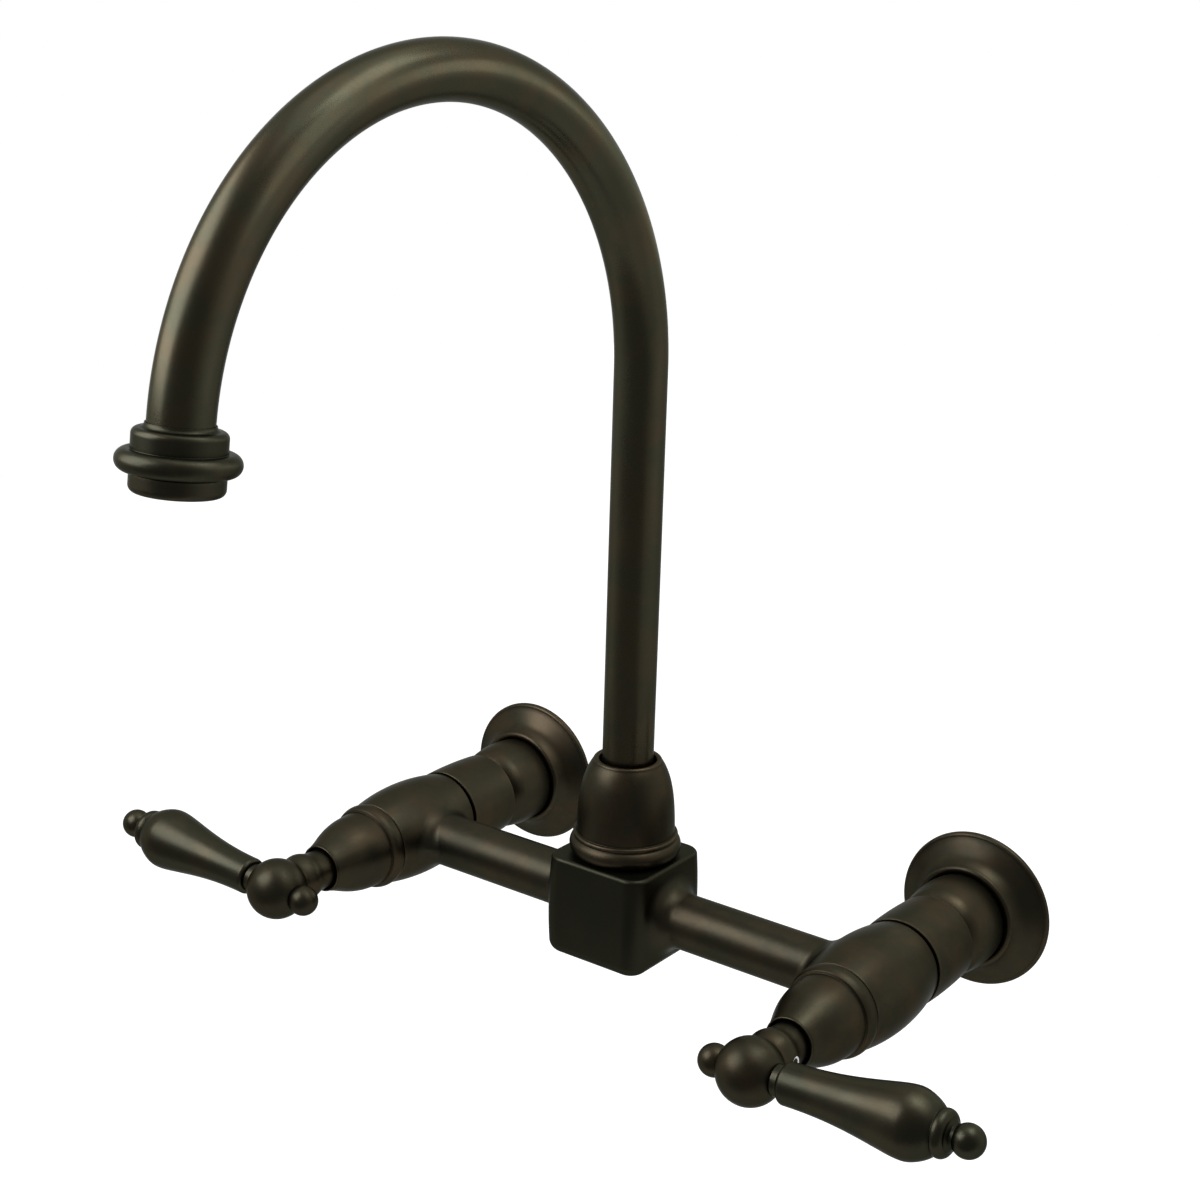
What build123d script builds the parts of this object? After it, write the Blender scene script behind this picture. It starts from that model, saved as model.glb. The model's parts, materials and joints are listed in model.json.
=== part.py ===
from build123d import *
import os
from math import cos, radians, sin, sqrt

# Wall-mounted bridge faucet with two lever handles and a swivelling gooseneck spout.
# Frame: +X to the right as one faces the faucet, +Y into the wall, +Z up.  The origin is
# on the wall plane, midway between the two inlets.  Millimetres and degrees throughout.
# A "station" is a distance from the wall along a valve axis, a "reach" is a distance from
# the centre of the hub ball along a lever, a "drop" is measured along the spout's outlet.

# ------------------------------------------------------------------ layout of the faucet
inlet_centres = 203.2        # 8 in between the hot and the cold supply
waterway_radius = 6.5        # bore of the unions and of the bridge arms
slip = 0.1                   # radial clearance of a thread or a slip fit
running_fit = 0.05           # radial clearance of a piece that turns in its bore
seat_gap = 0.05              # end clearance between pieces clamped face to face

# ------------------------------------------------------------------ escutcheon
escutcheon_radius = 28.85
escutcheon_depth = 11.0
escutcheon_rim = 1.2         # straight edge that lies against the wall
escutcheon_wall = 1.5
escutcheon_rim_inset = 3.2   # the sweep turns hollow this far inside the rim
escutcheon_rim_rise = 2.7
escutcheon_hollow_width = 4.2    # the hollow lies this far outside the lip
escutcheon_hollow_rise = 4.85
escutcheon_lip_flare = 1.1
escutcheon_lip_height = 1.2
escutcheon_lip_crest = 1.3   # from the mouth out to the lip's crest
escutcheon_lip_drop = 0.9    # from the crest back to the mouth
escutcheon_mouth_radius = 17.3
escutcheon_collar_back = 4.6
escutcheon_collar_front = 8.2
escutcheon_collar_root = 1.4

# ------------------------------------------------------------------ inlet union
union_back = 1.0             # the union stops just short of the wall
pipe_thread_radius = 9.3     # wall of the 1/2 in pipe tapping
pipe_thread_length = 18.0
sleeve_back_radius = 15.6
sleeve_belly_radius = 16.7
sleeve_belly = 22.0          # station of the belly
sleeve_front_radius = 15.1
sleeve_front = 33.0
sleeve_shoulder = 0.8        # rounding of the sleeve's front edge
spigot_radius = 12.3
spigot_length = 11.0

# ------------------------------------------------------------------ union nut and washer
union_nut_back_radius = 16.0
union_nut_radius = 16.5
union_nut_front_radius = 16.25
union_nut_edge = 0.4
union_nut_front_lip = 9.6    # length of the lip in front of the tail flange
union_washer_thickness = 1.6
union_washer_bore = 7.4

# ------------------------------------------------------------------ valve barrel
tail_flange_thickness = 2.4
tail_neck_radius = 10.8
barrel_gap = 0.9             # open groove between nut and barrel
barrel_back_radius = 15.7
barrel_belly_radius = 18.0
barrel_front_radius = 15.7
barrel_back_length = 18.95   # from the barrel's back to the axis of the arms
barrel_front_length = 21.2
barrel_spigot_radius = 13.4
barrel_spigot_length = 5.1
chamber_radius = 11.9
chamber_depth = 34.75

# ------------------------------------------------------------------ bridge arms and block
arm_radius = 9.95
arm_root_fillet = 6.0
block_root_fillet = 7.0
block_half_width = 20.5
block_bulge = 0.6            # the sides stand out this much at mid height
block_top = 19.3
block_bottom = -18.4
block_corner = 6.7
block_under_fillet = 4.0
block_top_fillet = 2.6
boss_radius = 14.4
boss_height = 9.7
socket_radius = 10.7
socket_depth = 26.0

# ------------------------------------------------------------------ bonnet
bonnet_ring_back = 0.3       # gap behind the ring
bonnet_ring_radius = 16.1
bonnet_ring_length = 5.6
bonnet_ring_crest = 2.8      # from the ring's back to its widest place
bonnet_ring_front_radius = 15.2
bonnet_ring_step = 0.3       # the ring drops to the dome over this length
bonnet_shoulder_radius = 14.4
bonnet_dome_radii = (13.9, 12.0)     # the dome's first and second bend
bonnet_dome_lengths = (7.4, 14.4)    # in front of the ring
bonnet_length = 29.2
bonnet_mouth_radius = 8.05
bonnet_lip = 0.65            # from the mouth out to where the dome meets the lip
bonnet_lip_crest = 0.35
bonnet_lip_height = 0.7
bonnet_lip_drop = 0.5
bonnet_cavity_radius = 11.6
bonnet_cavity_length = 16.0
bonnet_throat = 1.5          # the mouth's bore runs on this far behind the neck

# ------------------------------------------------------------------ cartridge
seat_seal_thickness = 2.0
disc_radius = 9.4
disc_thickness = 3.2
port_radius = 5.6
port_width = 4.4
port_sweep = 48.0
shell_wall = 2.1
window_height = 7.5
window_width = 9.0
gland_radius = 9.0
gland_length = 11.0
cartridge_flange_thickness = 1.4
driver_thickness = 2.8
stem_radius = 4.9
stem_groove_depth = 1.3
stem_ring_width = 2.0
stem_ring_pitch = 5.0
spline_radius = 3.6
spline_tooth = 0.55
spline_teeth = 12
spline_length = 25.0

# ------------------------------------------------------------------ handle
hub_station_past_bonnet = 22.25
hub_radius = 11.0
hub_neck_radius = 6.2
hub_neck_chamfer = 0.4
hub_neck_insertion = 5.5
hub_flare_offset = 24.0      # from the ball's centre back to where the neck flares
hub_flare_middle_radius = 6.9
hub_flare_middle_offset = 19.45
hub_flare_front_radius = 7.95
hub_flare_front_offset = 16.45
hub_bulb_radius = 8.75
hub_bulb_offset = 12.9       # from the ball's centre back to the bulb
hub_waist_radius = 8.25
hub_waist_offset = 9.2
hub_join_offset = 7.0        # where the waist's curve runs into the ball
lever_lift = 3.6             # the closed levers point a little above level
washer_radius = 5.2
washer_thickness = 2.7
stud_radius = 3.0
stud_length = 6.0
lever_root_radius = 6.8
lever_root_rounding = 1.6
lever_swell_lengths = (0.3, 0.58, 0.85)  # shares of the way from root to belly
lever_swell_rises = (0.08, 0.38, 0.83)   # shares of the rise from root to belly
lever_belly_radius = 11.3
lever_belly_reach = 56.0
lever_shoulder_radius = 10.4
lever_shoulder_reach = 60.0
lever_fall_radius = 8.3
lever_fall_reach = 63.8
lever_groove_radius = 7.1
lever_groove_reach = 65.2
lever_bead_radius = 7.5
lever_bead_reach = 67.0
lever_bead_front_radius = 5.3
lever_bead_front_reach = 69.2
lever_neck_radius = 3.4
lever_neck_reach = 70.1
lever_ball_radius = 5.3
lever_ball_reach = 74.5
finial_radius = 5.4
finial_reach = 13.1
finial_stud_radius = 2.0
finial_stud_length = 4.0
set_screw_radius = 2.0
set_screw_recess = 0.3       # the screw stops this far below the bulb's surface
set_screw_socket = 2.0
set_screw_socket_depth = 1.6

# ------------------------------------------------------------------ spout
spout_turn = 1.5             # the spout stands this far round to the left at rest
spout_radius = 9.1
spout_wall = 1.6
spout_rise = 194.3           # height at which the straight leg turns into the arch
arch_radius = 100.1
arch_sweep = 173.2
spout_tail = 2.4             # straight end of the tube, inside the nozzle collar
spout_flange_radius = 13.2
spout_flange_thickness = 3.6
glide_ring_thickness = 1.3
thrust_washer_thickness = 1.2
spout_spigot_length = 21.0
spout_bore_radius = 5.6
spout_groove_depth = 1.7
spout_ring_width = 2.4
spout_ring_pitch = 7.0
spout_tongue_length = 16.0

# ------------------------------------------------------------------ bell nut of the spout
bell_foot_gap = 0.3
bell_foot_radius = 19.2
bell_bead_radius = 19.9
bell_bead_crest = 3.9        # height of the bead's widest place above the foot
bell_bead_height = 8.2
bell_radius = 17.6
bell_flank_radii = (17.45, 17.0, 15.85, 14.2)
bell_flank_heights = (13.4, 19.4, 26.4, 31.4)    # above the foot
bell_height = 35.8
bell_lip = 2.1               # from the mouth out to where the flank meets the lip
bell_lip_crest = 0.9
bell_lip_height = 1.0
bell_lip_drop = 0.5
bell_mouth_radius = 10.2
bell_cavity_radius = 13.8

# ------------------------------------------------------------------ nozzle and aerator
collar_overlap = 2.4         # the collar reaches this far up the tube
collar_braze = 1.4           # concave fillet between the tube and the collar's top
collar_braze_land = 0.3
collar_radius = 12.85
collar_shoulder = 1.8        # rounding of the collar's top edge
collar_bead_start = 3.4
collar_bead_end = 9.2
collar_bead_radius = 16.85
collar_length = 9.4
collar_foot_edge = 0.2
collar_thread_radius = 10.6
collar_thread_length = 8.0
collar_ledge_radius = 8.0
skirt_gap = 0.2
skirt_radius = 12.9
skirt_length = 5.3
skirt_rounding = 2.0
outlet_radius = 8.9
outlet_lip_radius = 8.3
outlet_lip = 1.2
gasket_thickness = 1.8
core_hole_radius = 0.95
core_hole_pitch = 2.6

# ------------------------------------------------------------------ derived stations
spigot_front = sleeve_front + spigot_length
tail_back = spigot_front + union_washer_thickness
tail_flange_front = tail_back + tail_flange_thickness
union_nut_back = sleeve_front + seat_gap
union_nut_front = tail_flange_front + seat_gap + union_nut_front_lip
barrel_back = union_nut_front + barrel_gap
arm_station = barrel_back + barrel_back_length
barrel_front = arm_station + barrel_front_length
barrel_spigot_front = barrel_front + barrel_spigot_length
chamber_back = barrel_spigot_front - chamber_depth
bonnet_back = barrel_front + bonnet_ring_back
bonnet_ring_front = bonnet_back + bonnet_ring_length
bonnet_front = bonnet_back + bonnet_length
hub_station = bonnet_front + hub_station_past_bonnet
hub_neck_back = bonnet_front - hub_neck_insertion
hub_bulb_station = hub_station - hub_bulb_offset
hub_waist_station = hub_station - hub_waist_offset

fixed_disc_back = chamber_back + seat_seal_thickness
moving_disc_back = fixed_disc_back + disc_thickness
driver_back = moving_disc_back + disc_thickness
driver_front = driver_back + driver_thickness
window_back = driver_front + seat_gap
window_front = window_back + window_height
shell_bore_front = window_front + seat_gap
shell_radius = chamber_radius - slip
cartridge_flange_front = barrel_spigot_front + cartridge_flange_thickness
bonnet_ledge = cartridge_flange_front + seat_gap
gland_front = cartridge_flange_front + gland_length
spline_front = gland_front + spline_length

spotface_reach = sqrt(hub_radius**2 - washer_radius**2)
lever_root_reach = spotface_reach + washer_thickness
finial_seat = (finial_reach**2 + hub_radius**2 - finial_radius**2) / (2 * finial_reach)
finial_seat_radius = sqrt(hub_radius**2 - finial_seat**2)

boss_top = block_top + boss_height
spout_flange_bottom = boss_top + glide_ring_thickness
spout_flange_top = spout_flange_bottom + spout_flange_thickness
spout_spigot_radius = socket_radius - running_fit
spout_spigot_bottom = boss_top - spout_spigot_length
spout_bore = spout_radius - spout_wall
bell_bottom = block_top + bell_foot_gap
bell_top = bell_bottom + bell_height
bell_ceiling = spout_flange_top + thrust_washer_thickness + seat_gap

collar_top = -collar_overlap
collar_ledge = collar_length - collar_thread_length
skirt_top = collar_length + skirt_gap
skirt_bottom = skirt_top + skirt_length
gasket_top = collar_ledge + seat_gap
skirt_spigot_top = gasket_top + gasket_thickness


def round_through(start, corner, end):
    """Middle of the quarter round that replaces a square corner."""
    return tuple(
        c + (a + b - 2 * c) * (1 - sqrt(0.5)) for a, c, b in zip(start, corner, end)
    )


# ------------------------------------------------------------------ planes and axes
def valve_axis(side):
    """Axis of one valve, running from the wall towards the user."""
    return Axis((side * inlet_centres / 2, 0, 0), (0, -1, 0))


def valve_section(side):
    """Plane through a valve's axis: local x is the radius, local y the station."""
    return Plane(origin=(side * inlet_centres / 2, 0, 0), x_dir=(side, 0, 0), z_dir=(0, 0, -side))


def valve_plane(side, station):
    """Plane across a valve's axis, facing the user."""
    origin = (side * inlet_centres / 2, -station, 0)
    return Plane(origin=origin, x_dir=(side, 0, 0), z_dir=(0, -1, 0))


def lever_axis(side):
    """Axis of one lever, outwards from the centre of its hub ball."""
    lift = radians(lever_lift)
    return Axis((side * inlet_centres / 2, -hub_station, 0), (side * cos(lift), 0, sin(lift)))


def lever_section(side):
    """Plane through a lever's axis: local x is the reach, local y the radius."""
    axis = lever_axis(side)
    return Plane(
        origin=axis.position,
        x_dir=axis.direction,
        z_dir=axis.direction.cross(Vector(0, -1, 0)),
    )


def across_lever(side, station, reach):
    """Plane across the lever's direction, at a station of the valve axis."""
    axis = lever_axis(side)
    centre = Vector(side * inlet_centres / 2, -station, 0) + axis.direction * reach
    return Plane(origin=centre, x_dir=(0, -1, 0), z_dir=axis.direction)


spout_axis = Axis((0, -arm_station, 0), (0, 0, 1))
spout_forward = Vector(-sin(radians(spout_turn)), -cos(radians(spout_turn)), 0)
spout_section = Plane(
    origin=(0, -arm_station, 0),
    x_dir=spout_forward,
    z_dir=spout_forward.cross(Vector(0, 0, 1)),
)


# ------------------------------------------------------------------ wall side
def make_escutcheon(side):
    """Ogee rose: rim on the wall, concave sweep, rolled lip round the sleeve."""
    lip_radius = escutcheon_mouth_radius + escutcheon_wall
    with BuildPart() as escutcheon:
        with BuildSketch(valve_section(side)):
            with BuildLine():
                rim = Line((escutcheon_radius, 0), (escutcheon_radius, escutcheon_rim))
                sweep = Spline(
                    rim @ 1,
                    (
                        escutcheon_radius - escutcheon_rim_inset,
                        escutcheon_rim + escutcheon_rim_rise,
                    ),
                    (
                        lip_radius + escutcheon_hollow_width,
                        escutcheon_rim + escutcheon_hollow_rise,
                    ),
                    (
                        lip_radius + escutcheon_lip_flare,
                        escutcheon_depth - escutcheon_lip_height,
                    ),
                    tangents=[(-0.6, 1), (-0.45, 1)],
                )
                lip = ThreePointArc(
                    sweep @ 1,
                    (escutcheon_mouth_radius + escutcheon_lip_crest, escutcheon_depth),
                    (escutcheon_mouth_radius, escutcheon_depth - escutcheon_lip_drop),
                )
                Polyline(
                    lip @ 1,
                    (escutcheon_mouth_radius, escutcheon_collar_front),
                    (sleeve_back_radius + slip, escutcheon_collar_front),
                    (sleeve_back_radius + slip, escutcheon_collar_back),
                    (lip_radius + escutcheon_collar_root, escutcheon_collar_back),
                    (escutcheon_radius - escutcheon_wall, escutcheon_rim),
                    (escutcheon_radius - escutcheon_wall, 0),
                    rim @ 0,
                )
            make_face()
        revolve(axis=valve_axis(side))
    return escutcheon


def make_inlet_union(side):
    """Bellied sleeve tapped for the supply pipe, with a threaded spigot in front."""
    shoulder_back = (sleeve_front_radius, sleeve_front - sleeve_shoulder)
    shoulder_front = (sleeve_front_radius - sleeve_shoulder, sleeve_front)
    shoulder_corner = (sleeve_front_radius, sleeve_front)
    with BuildPart() as inlet_union:
        with BuildSketch(valve_section(side)):
            with BuildLine():
                Line((pipe_thread_radius, union_back), (sleeve_back_radius, union_back))
                Line((sleeve_back_radius, union_back), (sleeve_back_radius, escutcheon_depth))
                ThreePointArc(
                    (sleeve_back_radius, escutcheon_depth),
                    (sleeve_belly_radius, sleeve_belly),
                    shoulder_back,
                )
                ThreePointArc(
                    shoulder_back,
                    round_through(shoulder_back, shoulder_corner, shoulder_front),
                    shoulder_front,
                )
                Polyline(
                    shoulder_front,
                    (spigot_radius, sleeve_front),
                    (spigot_radius, spigot_front),
                    (waterway_radius, spigot_front),
                    (waterway_radius, union_back + pipe_thread_length),
                    (pipe_thread_radius, union_back + pipe_thread_length),
                    (pipe_thread_radius, union_back),
                )
            make_face()
        revolve(axis=valve_axis(side))
    return inlet_union


def make_union_washer(side):
    with BuildPart() as union_washer:
        with BuildSketch(valve_plane(side, spigot_front)):
            Circle(spigot_radius)
            Circle(union_washer_bore, mode=Mode.SUBTRACT)
        extrude(amount=union_washer_thickness)
    return union_washer


def make_union_nut(side):
    """Smooth coupling nut: thread at the back, lip in front that draws in the tail flange."""
    with BuildPart() as union_nut:
        with BuildSketch(valve_section(side)):
            with BuildLine():
                back = Polyline(
                    (spigot_radius + slip, union_nut_back),
                    (union_nut_back_radius - union_nut_edge, union_nut_back),
                    (union_nut_back_radius, union_nut_back + union_nut_edge),
                )
                swell = ThreePointArc(
                    back @ 1,
                    (union_nut_radius, (union_nut_back + union_nut_front) / 2),
                    (union_nut_front_radius, union_nut_front - union_nut_edge / 2),
                )
                Polyline(
                    swell @ 1,
                    (union_nut_front_radius - union_nut_edge / 2, union_nut_front),
                    (tail_neck_radius + slip, union_nut_front),
                    (tail_neck_radius + slip, tail_flange_front + seat_gap),
                    (spigot_radius + slip, tail_flange_front + seat_gap),
                    (spigot_radius + slip, union_nut_back),
                )
            make_face()
        revolve(axis=valve_axis(side))
    return union_nut


# ------------------------------------------------------------------ bridge casting
def barrel_outline(side):
    """Outer profile of a barrel: tail flange, neck, bellied barrel, threaded spigot."""
    with BuildSketch(valve_section(side)) as outline:
        with BuildLine():
            Polyline(
                (0, tail_back),
                (spigot_radius, tail_back),
                (spigot_radius, tail_flange_front),
                (tail_neck_radius, tail_flange_front),
                (tail_neck_radius, barrel_back),
                (barrel_back_radius, barrel_back),
            )
            ThreePointArc(
                (barrel_back_radius, barrel_back),
                (barrel_belly_radius, arm_station),
                (barrel_front_radius, barrel_front),
            )
            Polyline(
                (barrel_front_radius, barrel_front),
                (barrel_spigot_radius, barrel_front),
                (barrel_spigot_radius, barrel_spigot_front),
                (0, barrel_spigot_front),
                (0, tail_back),
            )
        make_face()
    return outline.sketch


def block_outline(plane):
    """View of the block along one axis: flat top and bottom, sides bowed outwards."""
    middle = (block_top + block_bottom) / 2
    bowed = block_half_width + block_bulge
    with BuildSketch(plane) as outline:
        with BuildLine():
            Line((-block_half_width, block_top), (block_half_width, block_top))
            ThreePointArc(
                (block_half_width, block_top), (bowed, middle), (block_half_width, block_bottom)
            )
            Line((block_half_width, block_bottom), (-block_half_width, block_bottom))
            ThreePointArc(
                (-block_half_width, block_bottom), (-bowed, middle), (-block_half_width, block_top)
            )
        make_face()
    return outline.sketch


def far_from_centre(edge):
    """True for the four upright corner edges of the block."""
    centre = edge.center()
    return abs(centre.X) > block_half_width / 2 and abs(centre.Y + arm_station) > block_half_width / 2


front_view = Plane(origin=(0, -arm_station, 0), x_dir=(1, 0, 0), z_dir=(0, -1, 0))
side_view = Plane(origin=(0, -arm_station, 0), x_dir=(0, 1, 0), z_dir=(1, 0, 0))

with BuildPart() as bridge_body:
    extrude(block_outline(front_view), amount=2 * block_half_width, both=True)
    extrude(
        block_outline(side_view), amount=2 * block_half_width, both=True, mode=Mode.INTERSECT
    )
    fillet(bridge_body.edges().filter_by(far_from_centre), radius=block_corner)
    fillet(bridge_body.faces().sort_by(Axis.Z)[0].edges(), radius=block_under_fillet)
    fillet(bridge_body.faces().sort_by(Axis.Z)[-1].edges(), radius=block_top_fillet)
    with BuildSketch(side_view):
        Circle(arm_radius)
    extrude(amount=inlet_centres / 2, both=True)
    block_roots = bridge_body.edges(Select.LAST).filter_by(
        lambda edge: abs(abs(edge.center().X) - block_half_width) < 3 * block_bulge
    )
    fillet(block_roots, radius=block_root_fillet)
    for side in (-1, 1):
        revolve(barrel_outline(side), axis=valve_axis(side))
        arm_roots = bridge_body.edges(Select.LAST).filter_by(GeomType.BSPLINE)
        fillet(arm_roots, radius=arm_root_fillet)
    with BuildSketch(Plane((0, -arm_station, block_top))):
        Circle(boss_radius)
    extrude(amount=boss_height)
    for side in (-1, 1):
        with BuildSketch(valve_plane(side, barrel_spigot_front)):
            Circle(chamber_radius)
        extrude(amount=-chamber_depth, mode=Mode.SUBTRACT)
        with BuildSketch(valve_plane(side, tail_back)):
            Circle(waterway_radius)
        extrude(amount=chamber_back - tail_back, mode=Mode.SUBTRACT)
    with BuildSketch(side_view):
        Circle(waterway_radius)
    extrude(amount=inlet_centres / 2, both=True, mode=Mode.SUBTRACT)
    with BuildSketch(Plane((0, -arm_station, boss_top))):
        Circle(socket_radius)
    extrude(amount=-(boss_height + socket_depth), mode=Mode.SUBTRACT)


# ------------------------------------------------------------------ bonnet and cartridge
def make_bonnet(side):
    """Bell-shaped bonnet: narrow rounded ring at the back, dome running to a rolled mouth."""
    bends = [
        (radius, bonnet_ring_front + length)
        for radius, length in zip(bonnet_dome_radii, bonnet_dome_lengths)
    ]
    with BuildPart() as bonnet:
        with BuildSketch(valve_section(side)):
            with BuildLine():
                ring = ThreePointArc(
                    (barrel_front_radius, bonnet_back),
                    (bonnet_ring_radius, bonnet_back + bonnet_ring_crest),
                    (bonnet_ring_front_radius, bonnet_ring_front - bonnet_ring_step),
                )
                step = Line(ring @ 1, (bonnet_shoulder_radius, bonnet_ring_front))
                dome = Spline(
                    step @ 1,
                    *bends,
                    (bonnet_mouth_radius + bonnet_lip, bonnet_front - bonnet_lip_height),
                    tangents=[(-0.02, 1), (-0.6, 0.9)],
                )
                lip = ThreePointArc(
                    dome @ 1,
                    (bonnet_mouth_radius + bonnet_lip_crest, bonnet_front),
                    (bonnet_mouth_radius, bonnet_front - bonnet_lip_drop),
                )
                Polyline(
                    lip @ 1,
                    (bonnet_mouth_radius, hub_neck_back - bonnet_throat),
                    (bonnet_cavity_radius, bonnet_back + bonnet_cavity_length),
                    (bonnet_cavity_radius, bonnet_ledge),
                    (barrel_spigot_radius + slip, bonnet_ledge),
                    (barrel_spigot_radius + slip, bonnet_back),
                    ring @ 0,
                )
            make_face()
        revolve(axis=valve_axis(side))
    return bonnet


def make_cartridge_shell(side):
    """Brass cartridge: barrel with two side windows, seating flange and long gland."""
    with BuildPart() as cartridge_shell:
        with BuildSketch(valve_section(side)):
            with BuildLine():
                Polyline(
                    (shell_radius - shell_wall, fixed_disc_back),
                    (shell_radius, fixed_disc_back),
                    (shell_radius, barrel_spigot_front),
                    (barrel_spigot_radius, barrel_spigot_front),
                    (barrel_spigot_radius, cartridge_flange_front),
                    (gland_radius, cartridge_flange_front),
                    (gland_radius, gland_front),
                    (stem_radius + running_fit, gland_front),
                    (stem_radius + running_fit, shell_bore_front),
                    (shell_radius - shell_wall, shell_bore_front),
                    (shell_radius - shell_wall, fixed_disc_back),
                )
            make_face()
        revolve(axis=valve_axis(side))
        with BuildSketch(valve_plane(side, window_back)):
            Rectangle(4 * shell_radius, window_width)
        extrude(amount=window_height, mode=Mode.SUBTRACT)
    return cartridge_shell


def make_seat_seal(side):
    """Rubber ring between the bottom of the barrel's chamber and the fixed disc."""
    with BuildPart() as seat_seal:
        with BuildSketch(valve_plane(side, chamber_back)):
            Circle(shell_radius)
            Circle(waterway_radius + 0.5, mode=Mode.SUBTRACT)
        extrude(amount=seat_seal_thickness)
    return seat_seal


def make_ported_disc(side, station, turn):
    """Ceramic disc with two curved ports, turned by an angle about the valve's axis."""
    port_start = turn - port_sweep / 2
    with BuildPart() as disc:
        with BuildSketch(valve_plane(side, station)):
            Circle(disc_radius)
            for port_turn in (0, 180):
                with BuildLine(mode=Mode.PRIVATE) as port_centre:
                    CenterArc((0, 0), port_radius, port_start + port_turn, port_sweep)
                SlotArc(port_centre.edges()[0], port_width, mode=Mode.SUBTRACT)
        extrude(amount=disc_thickness)
    return disc


def make_stem(side):
    """Turning stem: ported driver plate, ringed shaft and splined head."""
    ring_back = gland_front - 2.5 * stem_ring_pitch
    with BuildPart() as stem:
        with BuildSketch(valve_plane(side, driver_back)):
            Circle(disc_radius)
            for port_turn in (90, 270):
                with BuildLine(mode=Mode.PRIVATE) as port_centre:
                    CenterArc((0, 0), port_radius, port_turn - port_sweep / 2, port_sweep)
                SlotArc(port_centre.edges()[0], port_width, mode=Mode.SUBTRACT)
        extrude(amount=driver_thickness)
        with BuildSketch(valve_plane(side, driver_front)):
            Circle(stem_radius)
        extrude(amount=gland_front - driver_front)
        with BuildSketch(valve_plane(side, gland_front)):
            Circle(spline_radius)
            with PolarLocations(spline_radius, spline_teeth):
                Rectangle(2 * spline_tooth, 2 * spline_tooth)
        extrude(amount=spline_length)
        for ring in range(2):
            with BuildSketch(valve_plane(side, ring_back + ring * stem_ring_pitch)):
                Circle(stem_radius + 1)
                Circle(stem_radius - stem_groove_depth, mode=Mode.SUBTRACT)
            extrude(amount=stem_ring_width, mode=Mode.SUBTRACT)
    return stem


def make_stem_rings(side):
    """The two O-rings in the grooves of the stem."""
    ring_back = gland_front - 2.5 * stem_ring_pitch
    with BuildPart() as stem_rings:
        for ring in range(2):
            with BuildSketch(valve_plane(side, ring_back + ring * stem_ring_pitch)):
                Circle(stem_radius + running_fit / 2)
                Circle(stem_radius - stem_groove_depth, mode=Mode.SUBTRACT)
            extrude(amount=stem_ring_width)
    return stem_rings


# ------------------------------------------------------------------ handle
def make_handle_hub(side):
    """Hub: neck that dips into the bonnet's mouth, tapered bulb, waist and ball."""
    spline_socket = spline_radius + spline_tooth + slip
    ball_join = sqrt(hub_radius**2 - hub_join_offset**2)
    with BuildPart() as handle_hub:
        with BuildSketch(valve_section(side)):
            with BuildLine():
                neck = Polyline(
                    (spline_socket, hub_neck_back),
                    (hub_neck_radius - hub_neck_chamfer, hub_neck_back),
                    (hub_neck_radius, hub_neck_back + hub_neck_chamfer),
                    (hub_neck_radius, hub_station - hub_flare_offset),
                )
                bulb = Spline(
                    neck @ 1,
                    (hub_flare_middle_radius, hub_station - hub_flare_middle_offset),
                    (hub_flare_front_radius, hub_station - hub_flare_front_offset),
                    (hub_bulb_radius, hub_bulb_station),
                    (hub_waist_radius, hub_waist_station),
                    (ball_join, hub_station - hub_join_offset),
                    tangents=[(0, 1), (hub_join_offset, ball_join)],
                )
                ThreePointArc(
                    bulb @ 1, (hub_radius, hub_station), (0, hub_station + hub_radius)
                )
                Polyline(
                    (0, hub_station + hub_radius),
                    (0, spline_front + seat_gap),
                    (spline_socket, spline_front + seat_gap),
                    (spline_socket, hub_neck_back),
                )
            make_face()
        revolve(axis=valve_axis(side))
        for reach in (spotface_reach, -finial_seat):
            with BuildSketch(across_lever(side, hub_station, reach)):
                Circle(hub_radius)
            cap = hub_radius if reach > 0 else -hub_radius
            extrude(amount=cap, mode=Mode.SUBTRACT)
        with BuildSketch(across_lever(side, hub_station, spotface_reach)):
            Circle(stud_radius + slip)
        extrude(amount=-stud_length, mode=Mode.SUBTRACT)
        with BuildSketch(across_lever(side, hub_station, -finial_seat)):
            Circle(finial_stud_radius + slip)
        extrude(amount=finial_stud_length, mode=Mode.SUBTRACT)
        with BuildSketch(across_lever(side, hub_bulb_station, hub_bulb_radius + 1)):
            Circle(set_screw_radius + slip)
        extrude(amount=-(hub_bulb_radius + 1), mode=Mode.SUBTRACT)
    return handle_hub


def make_set_screw(side):
    """Socket set screw that bears on the splined head of the stem."""
    outer_end = hub_bulb_radius - set_screw_recess
    inner_end = spline_radius + spline_tooth + seat_gap
    with BuildPart() as set_screw:
        with BuildSketch(across_lever(side, hub_bulb_station, inner_end)):
            Circle(set_screw_radius)
        extrude(amount=outer_end - inner_end)
        with BuildSketch(across_lever(side, hub_bulb_station, outer_end)):
            RegularPolygon(set_screw_socket / 2, 6, major_radius=False)
        extrude(amount=-set_screw_socket_depth, mode=Mode.SUBTRACT)
    return set_screw


def make_finial(side):
    """Ball knob opposite the lever, held by a short stud in the hub."""
    flat = -finial_seat - seat_gap
    flat_radius = sqrt(finial_radius**2 - (finial_reach + flat) ** 2)
    stud_end = -finial_seat + finial_stud_length - slip
    with BuildPart() as finial:
        with BuildSketch(lever_section(side)):
            with BuildLine():
                ThreePointArc(
                    (flat, flat_radius),
                    (-finial_reach, finial_radius),
                    (-finial_reach - finial_radius, 0),
                )
                Polyline(
                    (-finial_reach - finial_radius, 0),
                    (stud_end, 0),
                    (stud_end, finial_stud_radius),
                    (flat, finial_stud_radius),
                    (flat, flat_radius),
                )
            make_face()
        revolve(axis=lever_axis(side))
    return finial


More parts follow.
